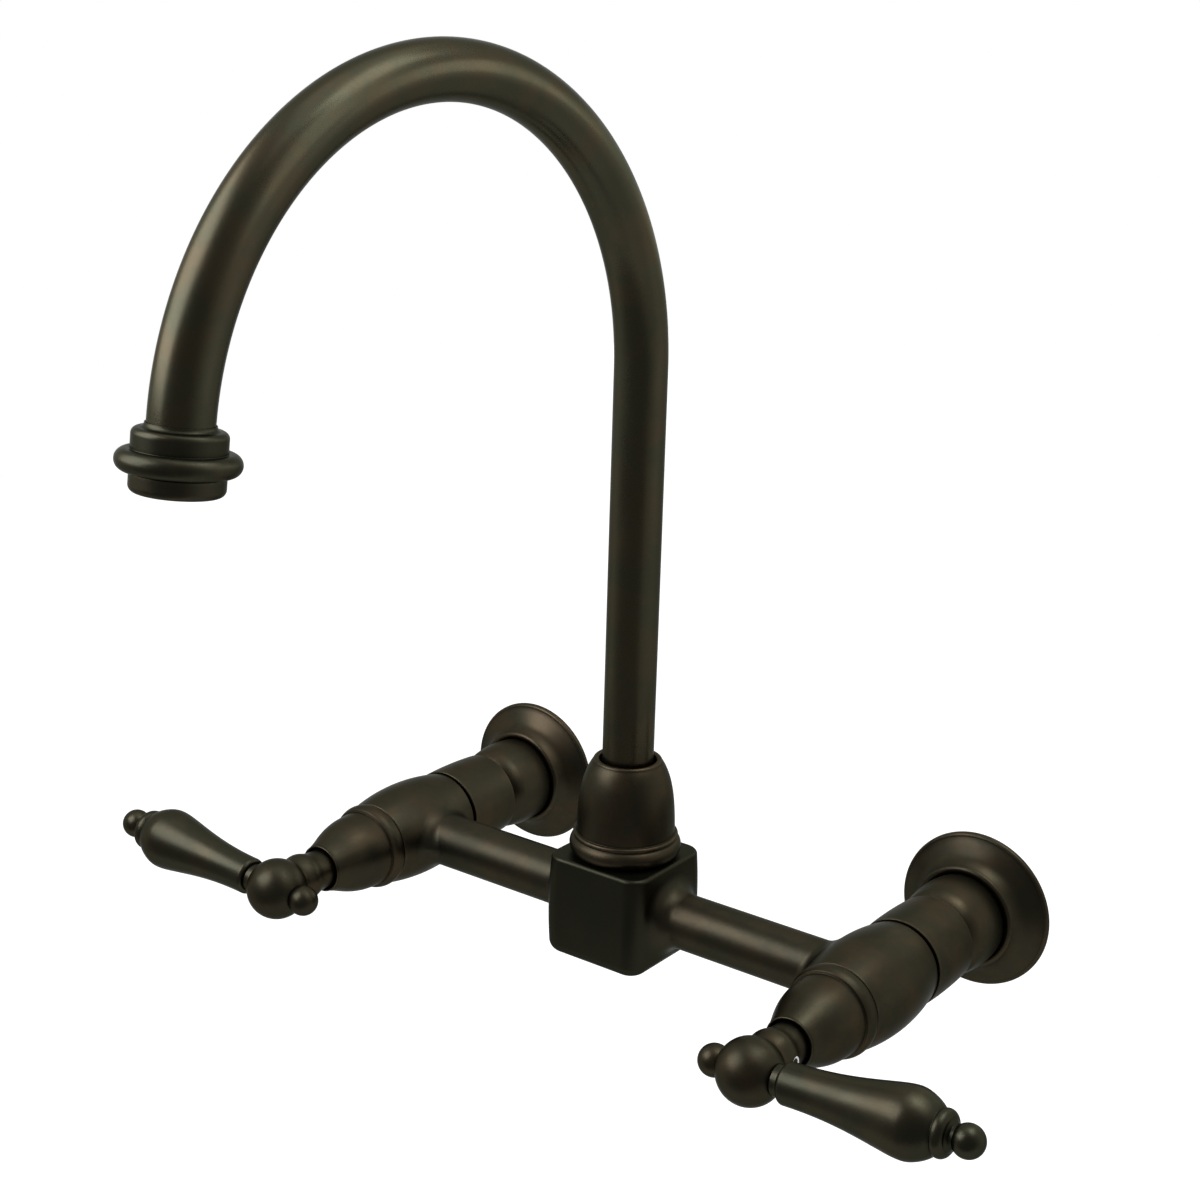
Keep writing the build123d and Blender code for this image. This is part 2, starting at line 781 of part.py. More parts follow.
def make_lever_washer(side):
    """Turned collar between the hub ball and the lever."""
    with BuildPart() as lever_washer:
        with BuildSketch(across_lever(side, hub_station, spotface_reach)):
            Circle(washer_radius)
            Circle(stud_radius + slip, mode=Mode.SUBTRACT)
        extrude(amount=washer_thickness)
    return lever_washer


def make_lever(side):
    """Turned lever: slim root, pear-shaped belly, bead and ball, stud at the root."""
    root = lever_root_reach + seat_gap
    rise = lever_belly_radius - lever_root_radius
    run = lever_belly_reach - root
    swell = [
        (root + length * run, lever_root_radius + height * rise)
        for length, height in zip(lever_swell_lengths, lever_swell_rises)
    ]
    root_start = (root, lever_root_radius - lever_root_rounding)
    root_corner = (root, lever_root_radius)
    root_end = (root + lever_root_rounding, lever_root_radius)
    ball_back = lever_ball_reach - sqrt(lever_ball_radius**2 - lever_neck_radius**2)
    with BuildPart() as lever:
        with BuildSketch(lever_section(side)):
            with BuildLine():
                Line((root, stud_radius), root_start)
                ThreePointArc(
                    root_start, round_through(root_start, root_corner, root_end), root_end
                )
                belly = Spline(
                    root_end,
                    *swell,
                    (lever_belly_reach, lever_belly_radius),
                    tangents=[(1, 0), (1, 0)],
                )
                shoulder = Spline(
                    belly @ 1,
                    (lever_shoulder_reach, lever_shoulder_radius),
                    (lever_fall_reach, lever_fall_radius),
                    tangents=[(1, 0), (1, -0.75)],
                )
                step = Line(shoulder @ 1, (lever_groove_reach, lever_groove_radius))
                bead = ThreePointArc(
                    step @ 1,
                    (lever_bead_reach, lever_bead_radius),
                    (lever_bead_front_reach, lever_bead_front_radius),
                )
                neck = Polyline(
                    bead @ 1,
                    (lever_neck_reach, lever_neck_radius),
                    (ball_back, lever_neck_radius),
                )
                ball = ThreePointArc(
                    neck @ 1,
                    (lever_ball_reach, lever_ball_radius),
                    (lever_ball_reach + lever_ball_radius, 0),
                )
                Polyline(
                    ball @ 1,
                    (spotface_reach - stud_length + slip, 0),
                    (spotface_reach - stud_length + slip, stud_radius),
                    (root, stud_radius),
                )
            make_face()
        revolve(axis=lever_axis(side))
    return lever


# ------------------------------------------------------------------ spout base and bell nut
def make_spout_nut():
    """Bell nut: threaded on the boss, holds down the spout's flange, mouth round the tube."""
    bends = [
        (radius, bell_bottom + height)
        for radius, height in zip(bell_flank_radii, bell_flank_heights)
    ]
    with BuildPart() as spout_nut:
        with BuildSketch(spout_section):
            with BuildLine():
                Line((boss_radius + slip, bell_bottom), (bell_foot_radius, bell_bottom))
                bead = ThreePointArc(
                    (bell_foot_radius, bell_bottom),
                    (bell_bead_radius, bell_bottom + bell_bead_crest),
                    (bell_radius, bell_bottom + bell_bead_height),
                )
                flank = Spline(
                    bead @ 1,
                    *bends,
                    (bell_mouth_radius + bell_lip, bell_top - bell_lip_height),
                    tangents=[(-0.01, 1), (-0.72, 1)],
                )
                lip = ThreePointArc(
                    flank @ 1,
                    (bell_mouth_radius + bell_lip_crest, bell_top),
                    (bell_mouth_radius, bell_top - bell_lip_drop),
                )
                Polyline(
                    lip @ 1,
                    (bell_mouth_radius, bell_ceiling),
                    (bell_cavity_radius, bell_ceiling),
                    (bell_cavity_radius, boss_top + seat_gap),
                    (boss_radius + slip, boss_top + seat_gap),
                    (boss_radius + slip, bell_bottom),
                )
            make_face()
        revolve(axis=spout_axis)
    return spout_nut


def make_glide_ring():
    """Plastic ring on top of the boss, on which the spout's flange turns."""
    with BuildPart() as glide_ring:
        with BuildSketch(Plane((0, -arm_station, boss_top))):
            Circle(spout_flange_radius)
            Circle(socket_radius, mode=Mode.SUBTRACT)
        extrude(amount=glide_ring_thickness)
    return glide_ring


def make_thrust_washer():
    """Plastic washer between the spout's flange and the ceiling of the bell nut."""
    with BuildPart() as thrust_washer:
        with BuildSketch(Plane((0, -arm_station, spout_flange_top))):
            Circle(spout_flange_radius)
            Circle(spout_radius + slip, mode=Mode.SUBTRACT)
        extrude(amount=thrust_washer_thickness)
    return thrust_washer


def ring_bottom(ring):
    """Height of one of the two O-ring grooves of the spout base."""
    return spout_spigot_bottom + 0.5 * spout_ring_pitch + ring * spout_ring_pitch


def make_spout_base():
    """Brass base of the spout: grooved spigot, flange, and tongue inside the tube."""
    with BuildPart() as spout_base:
        with BuildSketch(Plane((0, -arm_station, spout_spigot_bottom))):
            Circle(spout_spigot_radius)
        extrude(amount=spout_flange_bottom - spout_spigot_bottom)
        with BuildSketch(Plane((0, -arm_station, spout_flange_bottom))):
            Circle(spout_flange_radius)
        extrude(amount=spout_flange_thickness)
        with BuildSketch(Plane((0, -arm_station, spout_flange_top))):
            Circle(spout_bore - seat_gap)
        extrude(amount=spout_tongue_length)
        with BuildSketch(Plane((0, -arm_station, spout_spigot_bottom))):
            Circle(spout_bore_radius)
        extrude(amount=spout_flange_top + spout_tongue_length, mode=Mode.SUBTRACT)
        for ring in range(2):
            with BuildSketch(Plane((0, -arm_station, ring_bottom(ring)))):
                Circle(socket_radius + 1)
                Circle(spout_spigot_radius - spout_groove_depth, mode=Mode.SUBTRACT)
            extrude(amount=spout_ring_width, mode=Mode.SUBTRACT)
    return spout_base


def make_spout_rings():
    """The two O-rings in the grooves of the spout base."""
    with BuildPart() as spout_rings:
        for ring in range(2):
            with BuildSketch(Plane((0, -arm_station, ring_bottom(ring)))):
                Circle(spout_spigot_radius + running_fit / 2)
                Circle(spout_spigot_radius - spout_groove_depth, mode=Mode.SUBTRACT)
            extrude(amount=spout_ring_width)
    return spout_rings


# ------------------------------------------------------------------ gooseneck and nozzle
with BuildLine(spout_section) as gooseneck_path:
    Line((0, spout_flange_top), (0, spout_rise))
    arch = CenterArc((arch_radius, spout_rise), arch_radius, 180, -arch_sweep)
    Line(arch @ 1, (arch @ 1) + (arch % 1) * spout_tail)

outlet = gooseneck_path.wire() @ 1
outlet_direction = gooseneck_path.wire() % 1
outlet_axis = Axis(outlet, outlet_direction)
outlet_section = Plane(
    origin=outlet,
    x_dir=spout_section.z_dir.cross(outlet_direction),
    z_dir=-spout_section.z_dir,
)


def outlet_plane(drop):
    """Plane across the outlet, at a distance below the end of the tube."""
    return Plane(origin=outlet + outlet_direction * drop, z_dir=outlet_direction)


with BuildPart() as spout_tube:
    with BuildSketch(Plane((0, -arm_station, spout_flange_top))):
        Circle(spout_radius)
        Circle(spout_bore, mode=Mode.SUBTRACT)
    sweep(path=gooseneck_path.wire())


def make_nozzle_collar():
    """Collar brazed round the tube's end: rounded shoulder, band and heavy bead."""
    bore = spout_radius + slip
    braze_top = (bore + collar_braze_land, collar_top - collar_braze)
    braze_corner = (bore + collar_braze_land, collar_top)
    braze_end = (bore + collar_braze_land + collar_braze, collar_top)
    shoulder_top = (collar_radius - collar_shoulder, collar_top)
    shoulder_corner = (collar_radius, collar_top)
    shoulder_end = (collar_radius, collar_top + collar_shoulder)
    with BuildPart() as nozzle_collar:
        with BuildSketch(outlet_section):
            with BuildLine():
                Line((bore, collar_top - collar_braze), braze_top)
                ThreePointArc(
                    braze_top, round_through(braze_top, braze_corner, braze_end), braze_end
                )
                Line(braze_end, shoulder_top)
                ThreePointArc(
                    shoulder_top,
                    round_through(shoulder_top, shoulder_corner, shoulder_end),
                    shoulder_end,
                )
                band = Line(shoulder_end, (collar_radius, collar_bead_start))
                bead = ThreePointArc(
                    band @ 1,
                    (collar_bead_radius, (collar_bead_start + collar_bead_end) / 2),
                    (collar_radius, collar_bead_end),
                )
                Polyline(
                    bead @ 1,
                    (collar_radius - collar_foot_edge, collar_length),
                    (collar_thread_radius, collar_length),
                    (collar_thread_radius, collar_ledge),
                    (collar_ledge_radius, collar_ledge),
                    (collar_ledge_radius, seat_gap),
                    (bore, seat_gap),
                    (bore, collar_top - collar_braze),
                )
            make_face()
        revolve(axis=outlet_axis)
    return nozzle_collar


def make_aerator_skirt():
    """Screw-in skirt below the bead, with a rounded rim and an inner lip."""
    rim_top = (skirt_radius, skirt_bottom - skirt_rounding)
    rim_corner = (skirt_radius, skirt_bottom)
    rim_end = (skirt_radius - skirt_rounding, skirt_bottom)
    with BuildPart() as aerator_skirt:
        with BuildSketch(outlet_section):
            with BuildLine():
                Polyline(
                    (outlet_radius, skirt_spigot_top),
                    (collar_thread_radius - slip, skirt_spigot_top),
                    (collar_thread_radius - slip, skirt_top),
                    (skirt_radius, skirt_top),
                    rim_top,
                )
                ThreePointArc(rim_top, round_through(rim_top, rim_corner, rim_end), rim_end)
                Polyline(
                    rim_end,
                    (outlet_lip_radius, skirt_bottom),
                    (outlet_lip_radius, skirt_bottom - outlet_lip),
                    (outlet_radius, skirt_bottom - outlet_lip),
                    (outlet_radius, skirt_spigot_top),
                )
            make_face()
        revolve(axis=outlet_axis)
    return aerator_skirt


def make_aerator_gasket():
    with BuildPart() as aerator_gasket:
        with BuildSketch(outlet_plane(gasket_top)):
            Circle(collar_thread_radius - slip)
            Circle(collar_ledge_radius, mode=Mode.SUBTRACT)
        extrude(amount=gasket_thickness)
    return aerator_gasket


def make_aerator_core():
    """Plastic flow straightener with a honeycomb of round holes."""
    length = skirt_bottom - outlet_lip - skirt_spigot_top
    with BuildPart() as aerator_core:
        with BuildSketch(outlet_plane(skirt_spigot_top)):
            Circle(outlet_radius - slip)
            with HexLocations(core_hole_pitch / 2, 5, 5):
                Circle(core_hole_radius, mode=Mode.SUBTRACT)
        extrude(amount=length)
    return aerator_core


# ------------------------------------------------------------------ export
def save(piece, name):
    """Label one finished piece and write it to its own file."""
    piece.part.label = name
    export_step(piece.part, f"parts/{name}.step")


os.makedirs("parts", exist_ok=True)
save(bridge_body, "bridge_body")
save(make_spout_nut(), "spout_nut")
save(make_glide_ring(), "spout_glide_ring")
save(make_thrust_washer(), "spout_thrust_washer")
save(make_spout_base(), "spout_base")
save(make_spout_rings(), "spout_o_rings")
save(spout_tube, "spout_tube")
save(make_nozzle_collar(), "nozzle_collar")
save(make_aerator_skirt(), "aerator_skirt")
save(make_aerator_gasket(), "aerator_gasket")
save(make_aerator_core(), "aerator_core")
for hand, side in (("left", -1), ("right", 1)):
    save(make_escutcheon(side), f"{hand}_escutcheon")
    save(make_inlet_union(side), f"{hand}_inlet_union")
    save(make_union_washer(side), f"{hand}_union_washer")
    save(make_union_nut(side), f"{hand}_union_nut")
    save(make_bonnet(side), f"{hand}_bonnet")
    save(make_cartridge_shell(side), f"{hand}_cartridge_shell")
    save(make_seat_seal(side), f"{hand}_seat_seal")
    save(make_ported_disc(side, fixed_disc_back, 0), f"{hand}_fixed_disc")
    save(make_ported_disc(side, moving_disc_back, 90), f"{hand}_moving_disc")
    save(make_stem(side), f"{hand}_stem")
    save(make_stem_rings(side), f"{hand}_stem_o_rings")
    save(make_handle_hub(side), f"{hand}_handle_hub")
    save(make_set_screw(side), f"{hand}_set_screw")
    save(make_finial(side), f"{hand}_finial")
    save(make_lever_washer(side), f"{hand}_lever_washer")
    save(make_lever(side), f"{hand}_lever")
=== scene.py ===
"""Looks of a wall-mounted bridge faucet with two levers and a gooseneck spout.

Every visible piece is a surface worked out on a grid of two parameters and stands exactly
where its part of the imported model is.  Outlines are in millimetres, as (along, radius)
pairs: along is measured from the wall for the valves, from the middle of the bridge for the
spout's base, from the hub ball for the levers and from the tube's end for the nozzle.
"""

import json

import bpy
import numpy as np
from mathutils import Matrix, Vector


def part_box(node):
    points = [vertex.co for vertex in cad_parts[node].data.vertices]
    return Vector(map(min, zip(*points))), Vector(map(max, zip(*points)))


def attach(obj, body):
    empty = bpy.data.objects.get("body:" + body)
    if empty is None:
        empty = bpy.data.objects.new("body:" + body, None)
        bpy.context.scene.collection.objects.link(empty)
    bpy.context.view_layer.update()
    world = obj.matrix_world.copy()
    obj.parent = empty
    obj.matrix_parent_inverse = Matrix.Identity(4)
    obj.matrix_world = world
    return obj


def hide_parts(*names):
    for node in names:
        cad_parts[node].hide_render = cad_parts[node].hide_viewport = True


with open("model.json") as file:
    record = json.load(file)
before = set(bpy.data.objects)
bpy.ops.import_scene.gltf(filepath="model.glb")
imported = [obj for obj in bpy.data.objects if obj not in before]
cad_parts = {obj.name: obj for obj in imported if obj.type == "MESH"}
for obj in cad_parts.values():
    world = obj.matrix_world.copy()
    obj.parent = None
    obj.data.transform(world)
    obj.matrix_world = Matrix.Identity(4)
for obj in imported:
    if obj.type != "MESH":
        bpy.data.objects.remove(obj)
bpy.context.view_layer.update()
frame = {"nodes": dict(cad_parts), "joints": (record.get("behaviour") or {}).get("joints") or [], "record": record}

MM = 0.001
SIDES = {"left": -1, "right": 1}
SAME_POINT = 1e-6

# ------------------------------------------------------------------ driving sizes
# in mm, and in degrees for the lever's lift, the spout's turn and the arch's sweep
joints = {joint["name"]: joint for joint in frame["joints"]}
valve_x = joints["right_handle_turn"]["pos_m"][0] / MM
arm_station = -joints["spout_swivel"]["pos_m"][1] / MM
hub_radius = 11.0
hub_station = -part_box("right_handle_hub")[0].y / MM - hub_radius
lever_lift = 3.6
spout_turn = 1.5
tube_radius = 9.1
tube_bore = 7.5
tube_rise = 194.3
arch_radius = 100.1
arch_sweep = 173.2
tube_tail = 2.4
arm_radius = 9.95
block_half_width = 20.5
block_bulge = 0.6
block_top = 19.3
block_bottom = -18.4
block_corner = 6.7
block_under_fillet = 4.0
block_top_fillet = 1.4
block_root_fillet = 7.0
arm_root_fillet = 6.0
barrel_ends = (58.55, 98.7)
barrel_end_radius = 15.7
barrel_belly = 18.0
waterway = 6.5
pipe_bore = 9.3
spigot_radius = 12.3
chamber_radius = 11.9
chamber_back = 69.05
spigot_front = 103.8
boss_radius = 14.4
bulb_offset = 12.9
bulb_radius = 8.75


# ------------------------------------------------------------------ outlines
def line(*points):
    """Straight runs from point to point."""
    return np.array(points, float)


def arc(start, through, end, steps=28):
    """The circle through three points, from the first to the last."""
    (x1, y1), (x2, y2), (x3, y3) = start, through, end
    scale = 2 * (x1 * (y2 - y3) + x2 * (y3 - y1) + x3 * (y1 - y2))
    s1, s2, s3 = x1 * x1 + y1 * y1, x2 * x2 + y2 * y2, x3 * x3 + y3 * y3
    cx = (s1 * (y2 - y3) + s2 * (y3 - y1) + s3 * (y1 - y2)) / scale
    cy = (s1 * (x3 - x2) + s2 * (x1 - x3) + s3 * (x2 - x1)) / scale
    first, middle, last = (
        np.arctan2(y - cy, x - cx) for x, y in (start, through, end)
    )
    turn = (last - first) % (2 * np.pi)
    if (middle - first) % (2 * np.pi) > turn:
        turn -= 2 * np.pi
    angle = first + turn * np.linspace(0, 1, steps)
    radius = np.hypot(x1 - cx, y1 - cy)
    return np.stack([cx + radius * np.cos(angle), cy + radius * np.sin(angle)], 1)


def curve(points, first=None, last=None, steps=64):
    """Smooth curve through points: piecewise cubic whose slopes and bends run on.

    The parameter is the distance along the chords.  first and last are directions at the
    ends; without them the curve ends unbent.
    """
    knots = np.array(points, float)
    reach = np.r_[0, np.cumsum(np.hypot(*np.diff(knots, axis=0).T))]
    gaps = np.diff(reach)
    rises = np.diff(knots, axis=0) / gaps[:, None]
    count = len(knots)
    matrix = np.zeros((count, count))
    wanted = np.zeros((count, 2))
    inner = np.arange(1, count - 1)
    matrix[inner, inner - 1] = gaps[1:]
    matrix[inner, inner] = 2 * (gaps[:-1] + gaps[1:])
    matrix[inner, inner + 1] = gaps[:-1]
    wanted[1:-1] = 3 * (gaps[1:, None] * rises[:-1] + gaps[:-1, None] * rises[1:])
    for end, near, given, rise in ((0, 1, first, rises[0]), (-1, -2, last, rises[-1])):
        matrix[end, end] = 1 if given is not None else 2
        matrix[end, near] = 0 if given is not None else 1
        wanted[end] = np.array(given) / np.hypot(*given) if given is not None else 3 * rise
    slopes = np.linalg.solve(matrix, wanted)
    at = np.linspace(0, reach[-1], steps)
    span = np.clip(np.searchsorted(reach, at, side="right") - 1, 0, count - 2)
    part = ((at - reach[span]) / gaps[span])[:, None]
    gap = gaps[span][:, None]
    return (
        (2 * part**3 - 3 * part**2 + 1) * knots[span]
        + (part**3 - 2 * part**2 + part) * gap * slopes[span]
        + (3 * part**2 - 2 * part**3) * knots[span + 1]
        + (part**3 - part**2) * gap * slopes[span + 1]
    )


def join(*runs):
    """One outline from several runs, with the points that they share kept once."""
    outline = np.concatenate(runs)
    step = np.hypot(*np.diff(outline, axis=0).T)
    return outline[np.r_[True, step > SAME_POINT]]


def soften(outline, edge, closed=True):
    """Outline whose corners are rounded to the edge radius by short parabolas.

    A corner is a turn of more than 16 degrees.  A parabola leaves each side at
    radius * tan(half the turn) from the corner, but never further than 0.45 of the way to
    the next corner.  A closed outline ends on its first point, and is begun again in the
    middle of its first side so that all corners count.
    """
    least_turn, sharpest_turn = np.radians(16), 2.6
    furthest = 0.45
    if closed:
        middle = (outline[:1] + outline[1:2]) / 2
        outline = np.concatenate([middle, outline[1:], middle])
    steps_out = np.diff(outline, axis=0)
    heading = np.unwrap(np.arctan2(steps_out[:, 1], steps_out[:, 0]))
    turn = np.abs(np.diff(heading))
    corners = np.flatnonzero(turn > least_turn) + 1
    reach = np.r_[0, np.cumsum(np.hypot(*steps_out.T))]
    stops = np.r_[0, reach[corners], reach[-1]]
    pieces = []
    begun = 0.0
    part = np.linspace(0, 1, 7)[:, None]
    for order, corner in enumerate(corners):
        back, here, ahead = stops[order : order + 3]
        room = furthest * min(here - back, ahead - here)
        cut = min(edge * np.tan(min(turn[corner - 1], sharpest_turn) / 2), room)
        before, after = here - cut, here + cut
        kept = (reach > begun + SAME_POINT) & (reach < before - SAME_POINT)
        ends = [
            np.array([[np.interp(at, reach, outline[:, axis]) for axis in (0, 1)]])
            for at in (before, after)
        ]
        pieces.append(outline[kept])
        pieces.append(
            (1 - part) ** 2 * ends[0] + 2 * part * (1 - part) * outline[corner] + part**2 * ends[1]
        )
        begun = after
    pieces.append(outline[reach > begun + SAME_POINT])
    first = [] if len(corners) and stops[1] == 0 else [outline[:1]]
    return join(*first, *pieces)


def refine(outline, longest=0.9):
    """Outline with long runs divided, so that no step is longer than the given length."""
    step = np.hypot(*np.diff(outline, axis=0).T)
    count = np.maximum(1, np.ceil(step / longest).astype(int))
    start = np.repeat(np.arange(len(step)), count)
    share = np.concatenate([np.arange(n) / n for n in count])[:, None]
    fine = outline[start] * (1 - share) + outline[start + 1] * share
    return np.concatenate([fine, outline[-1:]])


# ------------------------------------------------------------------ places
def place(origin, along, up=(0, 0, 1)):
    """Origin and three directions: along an axis, and two across it."""
    along = Vector(along).normalized()
    across = Vector(up).cross(along).normalized()
    upward = along.cross(across)
    return np.array(origin, float), np.array(along), np.array(across), np.array(upward)


def on_valve(side):
    """Axis of a valve: from the wall straight out."""
    return place((side * valve_x, 0, 0), (0, -1, 0))


def lever_direction(side):
    """Outwards and a little up: (side * cos, 0, sin) of the lever's lift."""
    lift = np.radians(lever_lift)
    return np.array([side * np.cos(lift), 0, np.sin(lift)])


def on_lever(side):
    """Axis of a lever: from the middle of the hub's ball."""
    return place((side * valve_x, -hub_station, 0), lever_direction(side))


def spout_point(forward, height):
    """A point of the spout's upright plane: forward of its axis, and its height."""
    turn = np.radians(spout_turn)
    return np.array([-np.sin(turn) * forward, -arm_station - np.cos(turn) * forward, height])


def on_spout():
    """Axis of the spout's joint: upwards from the middle of the bridge."""
    return place((0, -arm_station, 0), (0, 0, 1), up=(0, 1, 0))


def on_outlet():
    """Axis of the nozzle: from the end of the tube's straight tail, downwards."""
    sweep = np.radians(arch_sweep)
    end = spout_point(
        arch_radius * (1 - np.cos(sweep)), tube_rise + arch_radius * np.sin(sweep)
    )
    heading = spout_point(np.sin(sweep), np.cos(sweep)) - spout_point(0, 0)
    return place(end + tube_tail * heading, heading, up=(1, 0, 0))


# ------------------------------------------------------------------ surfaces
def edge_wear_and_crease_shade(points, normals, closed):
    """How sharply a surface bends, from +1 on a crest to -1 in a groove.

    The bend between neighbours is the change of normal along their distance, divided by
    that distance; the strongest of the two grid directions counts.  A crest starts at a
    bend of 0.3 per mm and a groove at 0.15, each is full 1.2 later, and both are then
    spread a little along the rows.
    """
    crest_start, groove_start, full, spreads = 0.3, 0.15, 1.2, 4
    bends = []
    for axis in (0, 1):
        step = np.roll(points, -1, axis) - points
        change = np.roll(normals, -1, axis) - normals
        bend = (step * change).sum(-1) / np.maximum((step * step).sum(-1), 1e-4)
        if axis == 0 and not closed:
            bend[-1] = 0
        bends.append((bend + np.roll(bend, 1, axis)) / 2)
    crest = np.clip(np.maximum(*bends) - crest_start, 0, full) / full
    groove = np.clip(-np.minimum(*bends) - groove_start, 0, full) / full
    # positive on crests, which get the worn colour; negative in grooves, which get painted shade
    rub = crest - groove
    for _ in range(spreads):
        rub = (np.roll(rub, 1, 0) + 2 * rub + np.roll(rub, -1, 0)) / 4
    return rub


def row_of_corner(index, quads, corner):
    """Row of the grid that one corner of each face came from."""
    return np.searchsorted(index[:, 0], quads[:, corner], side="right") - 1


def make_grid_piece(name, points, closed=True):
    """Closed mesh of a grid in mm: rows along the piece, columns round it.

    A row that shrinks to a point, the pole, becomes one vertex.  Each normal is the sum of
    the area vectors of the faces round a vertex, and all are turned outwards if the volume
    that the faces enclose comes out negative.
    """
    columns = points.shape[1]
    pole = np.ptp(points, axis=1).max(-1) < 1e-5
    starts = np.r_[0, np.cumsum(np.where(pole, 1, columns))]
    index = starts[:-1, None] + np.where(pole[:, None], 0, np.arange(columns)[None])
    vertices = np.concatenate([row[:1] if single else row for row, single in zip(points, pole)])
    lower = index if closed else index[:-1]
    upper = np.roll(index, -1, 0) if closed else index[1:]
    quads = np.stack([lower, np.roll(lower, -1, 1), np.roll(upper, -1, 1), upper], -1)
    quads = quads.reshape(-1, 4)
    if closed and pole.any():
        from_pole = pole[row_of_corner(index, quads, 0)]
        to_pole = pole[row_of_corner(index, quads, 2)]
        quads = quads[~(from_pole & to_pole)]
    corners = vertices[quads]
    area = np.cross(corners[:, 2] - corners[:, 0], corners[:, 3] - corners[:, 1]) / 2
    if (area * corners.mean(1)).sum() < 0:
        quads = quads[:, ::-1]
        area = -area
    normals = np.zeros_like(vertices)
    for corner in range(4):
        np.add.at(normals, quads[:, corner], area)
    normals /= np.maximum(np.linalg.norm(normals, axis=1, keepdims=True), 1e-12)
    faces = quads.tolist()
    for at_pole in np.flatnonzero((quads == np.roll(quads, 1, 1)).any(1)):
        faces[at_pole] = list(dict.fromkeys(faces[at_pole]))
    mesh = bpy.data.meshes.new(name)
    mesh.from_pydata((vertices * MM).tolist(), [], faces)
    mesh.update()
    mesh.polygons.foreach_set("use_smooth", np.ones(len(mesh.polygons), bool))
    rub = edge_wear_and_crease_shade(points, normals[index], closed)
    # the rub attribute drives both the worn crests and the painted shade in grooves
    layer = mesh.attributes.new("rub", "FLOAT", "POINT")
    values = np.zeros(len(vertices))
    values[index.ravel()] = rub.ravel()
    layer.data.foreach_set("value", values)
    mesh.normals_split_custom_set_from_vertices(normals.tolist())
    piece = bpy.data.objects.new(name, mesh)
    bpy.context.collection.objects.link(piece)
    return piece


def turned(outline, where, columns=112, shift=None):
    """Points of a turned piece: origin + along * axis + radius * (cos, sin) across it.

    shift, if given, is added to the radius and depends on the row and the angle, as a
    screw thread does.
    """
    origin, axis, across, upward = where
    angle = 2 * np.pi * np.arange(columns) / columns
    spread = np.cos(angle)[:, None] * across + np.sin(angle)[:, None] * upward
    radius = np.repeat(outline[:, 1:], columns, 1)
    if shift is not None:
        radius = radius + shift(outline, angle)
    return origin + outline[:, :1, None] * axis + radius[..., None] * spread


def add_piece(name, points, body, material, node, closed=True):
    """Make a piece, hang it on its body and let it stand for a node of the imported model."""
    piece = make_grid_piece(f"{name}_finished", points, closed)
    piece.data.materials.append(material)
    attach(piece, body)
    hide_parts(node)


# ------------------------------------------------------------------ materials
def new_group(name, inputs, outputs):
    """Empty shader group with named sockets."""
    group = bpy.data.node_groups.new(name, "ShaderNodeTree")
    for label, kind, value in inputs:
        socket = group.interface.new_socket(label, in_out="INPUT", socket_type=kind)
        socket.default_value = value
    for label, kind in outputs:
        group.interface.new_socket(label, in_out="OUTPUT", socket_type=kind)
    return group, group.nodes.new("NodeGroupInput"), group.nodes.new("NodeGroupOutput")


def add_node(tree, kind, **settings):
    """Node with settings; keys that start with an underscore set input sockets."""
    node = tree.nodes.new(kind)
    for key, value in settings.items():
        if key.startswith("_"):
            node.inputs[key[1:].replace("_", " ")].default_value = value
        else:
            setattr(node, key, value)
    return node


def feed(tree, source, socket):
    """Link a socket to another, or give it a plain value."""
    if isinstance(source, bpy.types.NodeSocket):
        tree.links.new(source, socket)
    else:
        socket.default_value = source


def mix_colours(tree, factor, first, second):
    """Mix of two colour sockets or colours by a factor socket."""
    node = add_node(tree, "ShaderNodeMix", data_type="RGBA")
    for place_in_node, source in ((0, factor), (6, first), (7, second)):
        feed(tree, source, node.inputs[place_in_node])
    return node.outputs[2]


def scaled(tree, source, low, high, new_low, new_high):
    """Value eased from one range to another, and kept inside it."""
    node = add_node(
        tree, "ShaderNodeMapRange", interpolation_type="SMOOTHSTEP",
        _From_Min=low, _From_Max=high, _To_Min=new_low, _To_Max=new_high,
    )
    tree.links.new(source, node.inputs["Value"])
    return node.outputs["Result"]


def combined(tree, operation, first, second):
    """Result of one step of arithmetic on two value sockets or numbers."""
    node = add_node(tree, "ShaderNodeMath", operation=operation)
    for socket, source in zip(node.inputs, (first, second)):
        feed(tree, source, socket)
    return node.outputs[0]


def noise(tree, where, scale, detail, roughness=0.55):
    """Cloudy noise whose patches are about 1 / scale of a metre across."""
    node = add_node(
        tree, "ShaderNodeTexNoise", _Scale=scale, _Detail=detail, _Roughness=roughness
    )
    tree.links.new(where, node.inputs["Vector"])
    return node.outputs["Fac"]


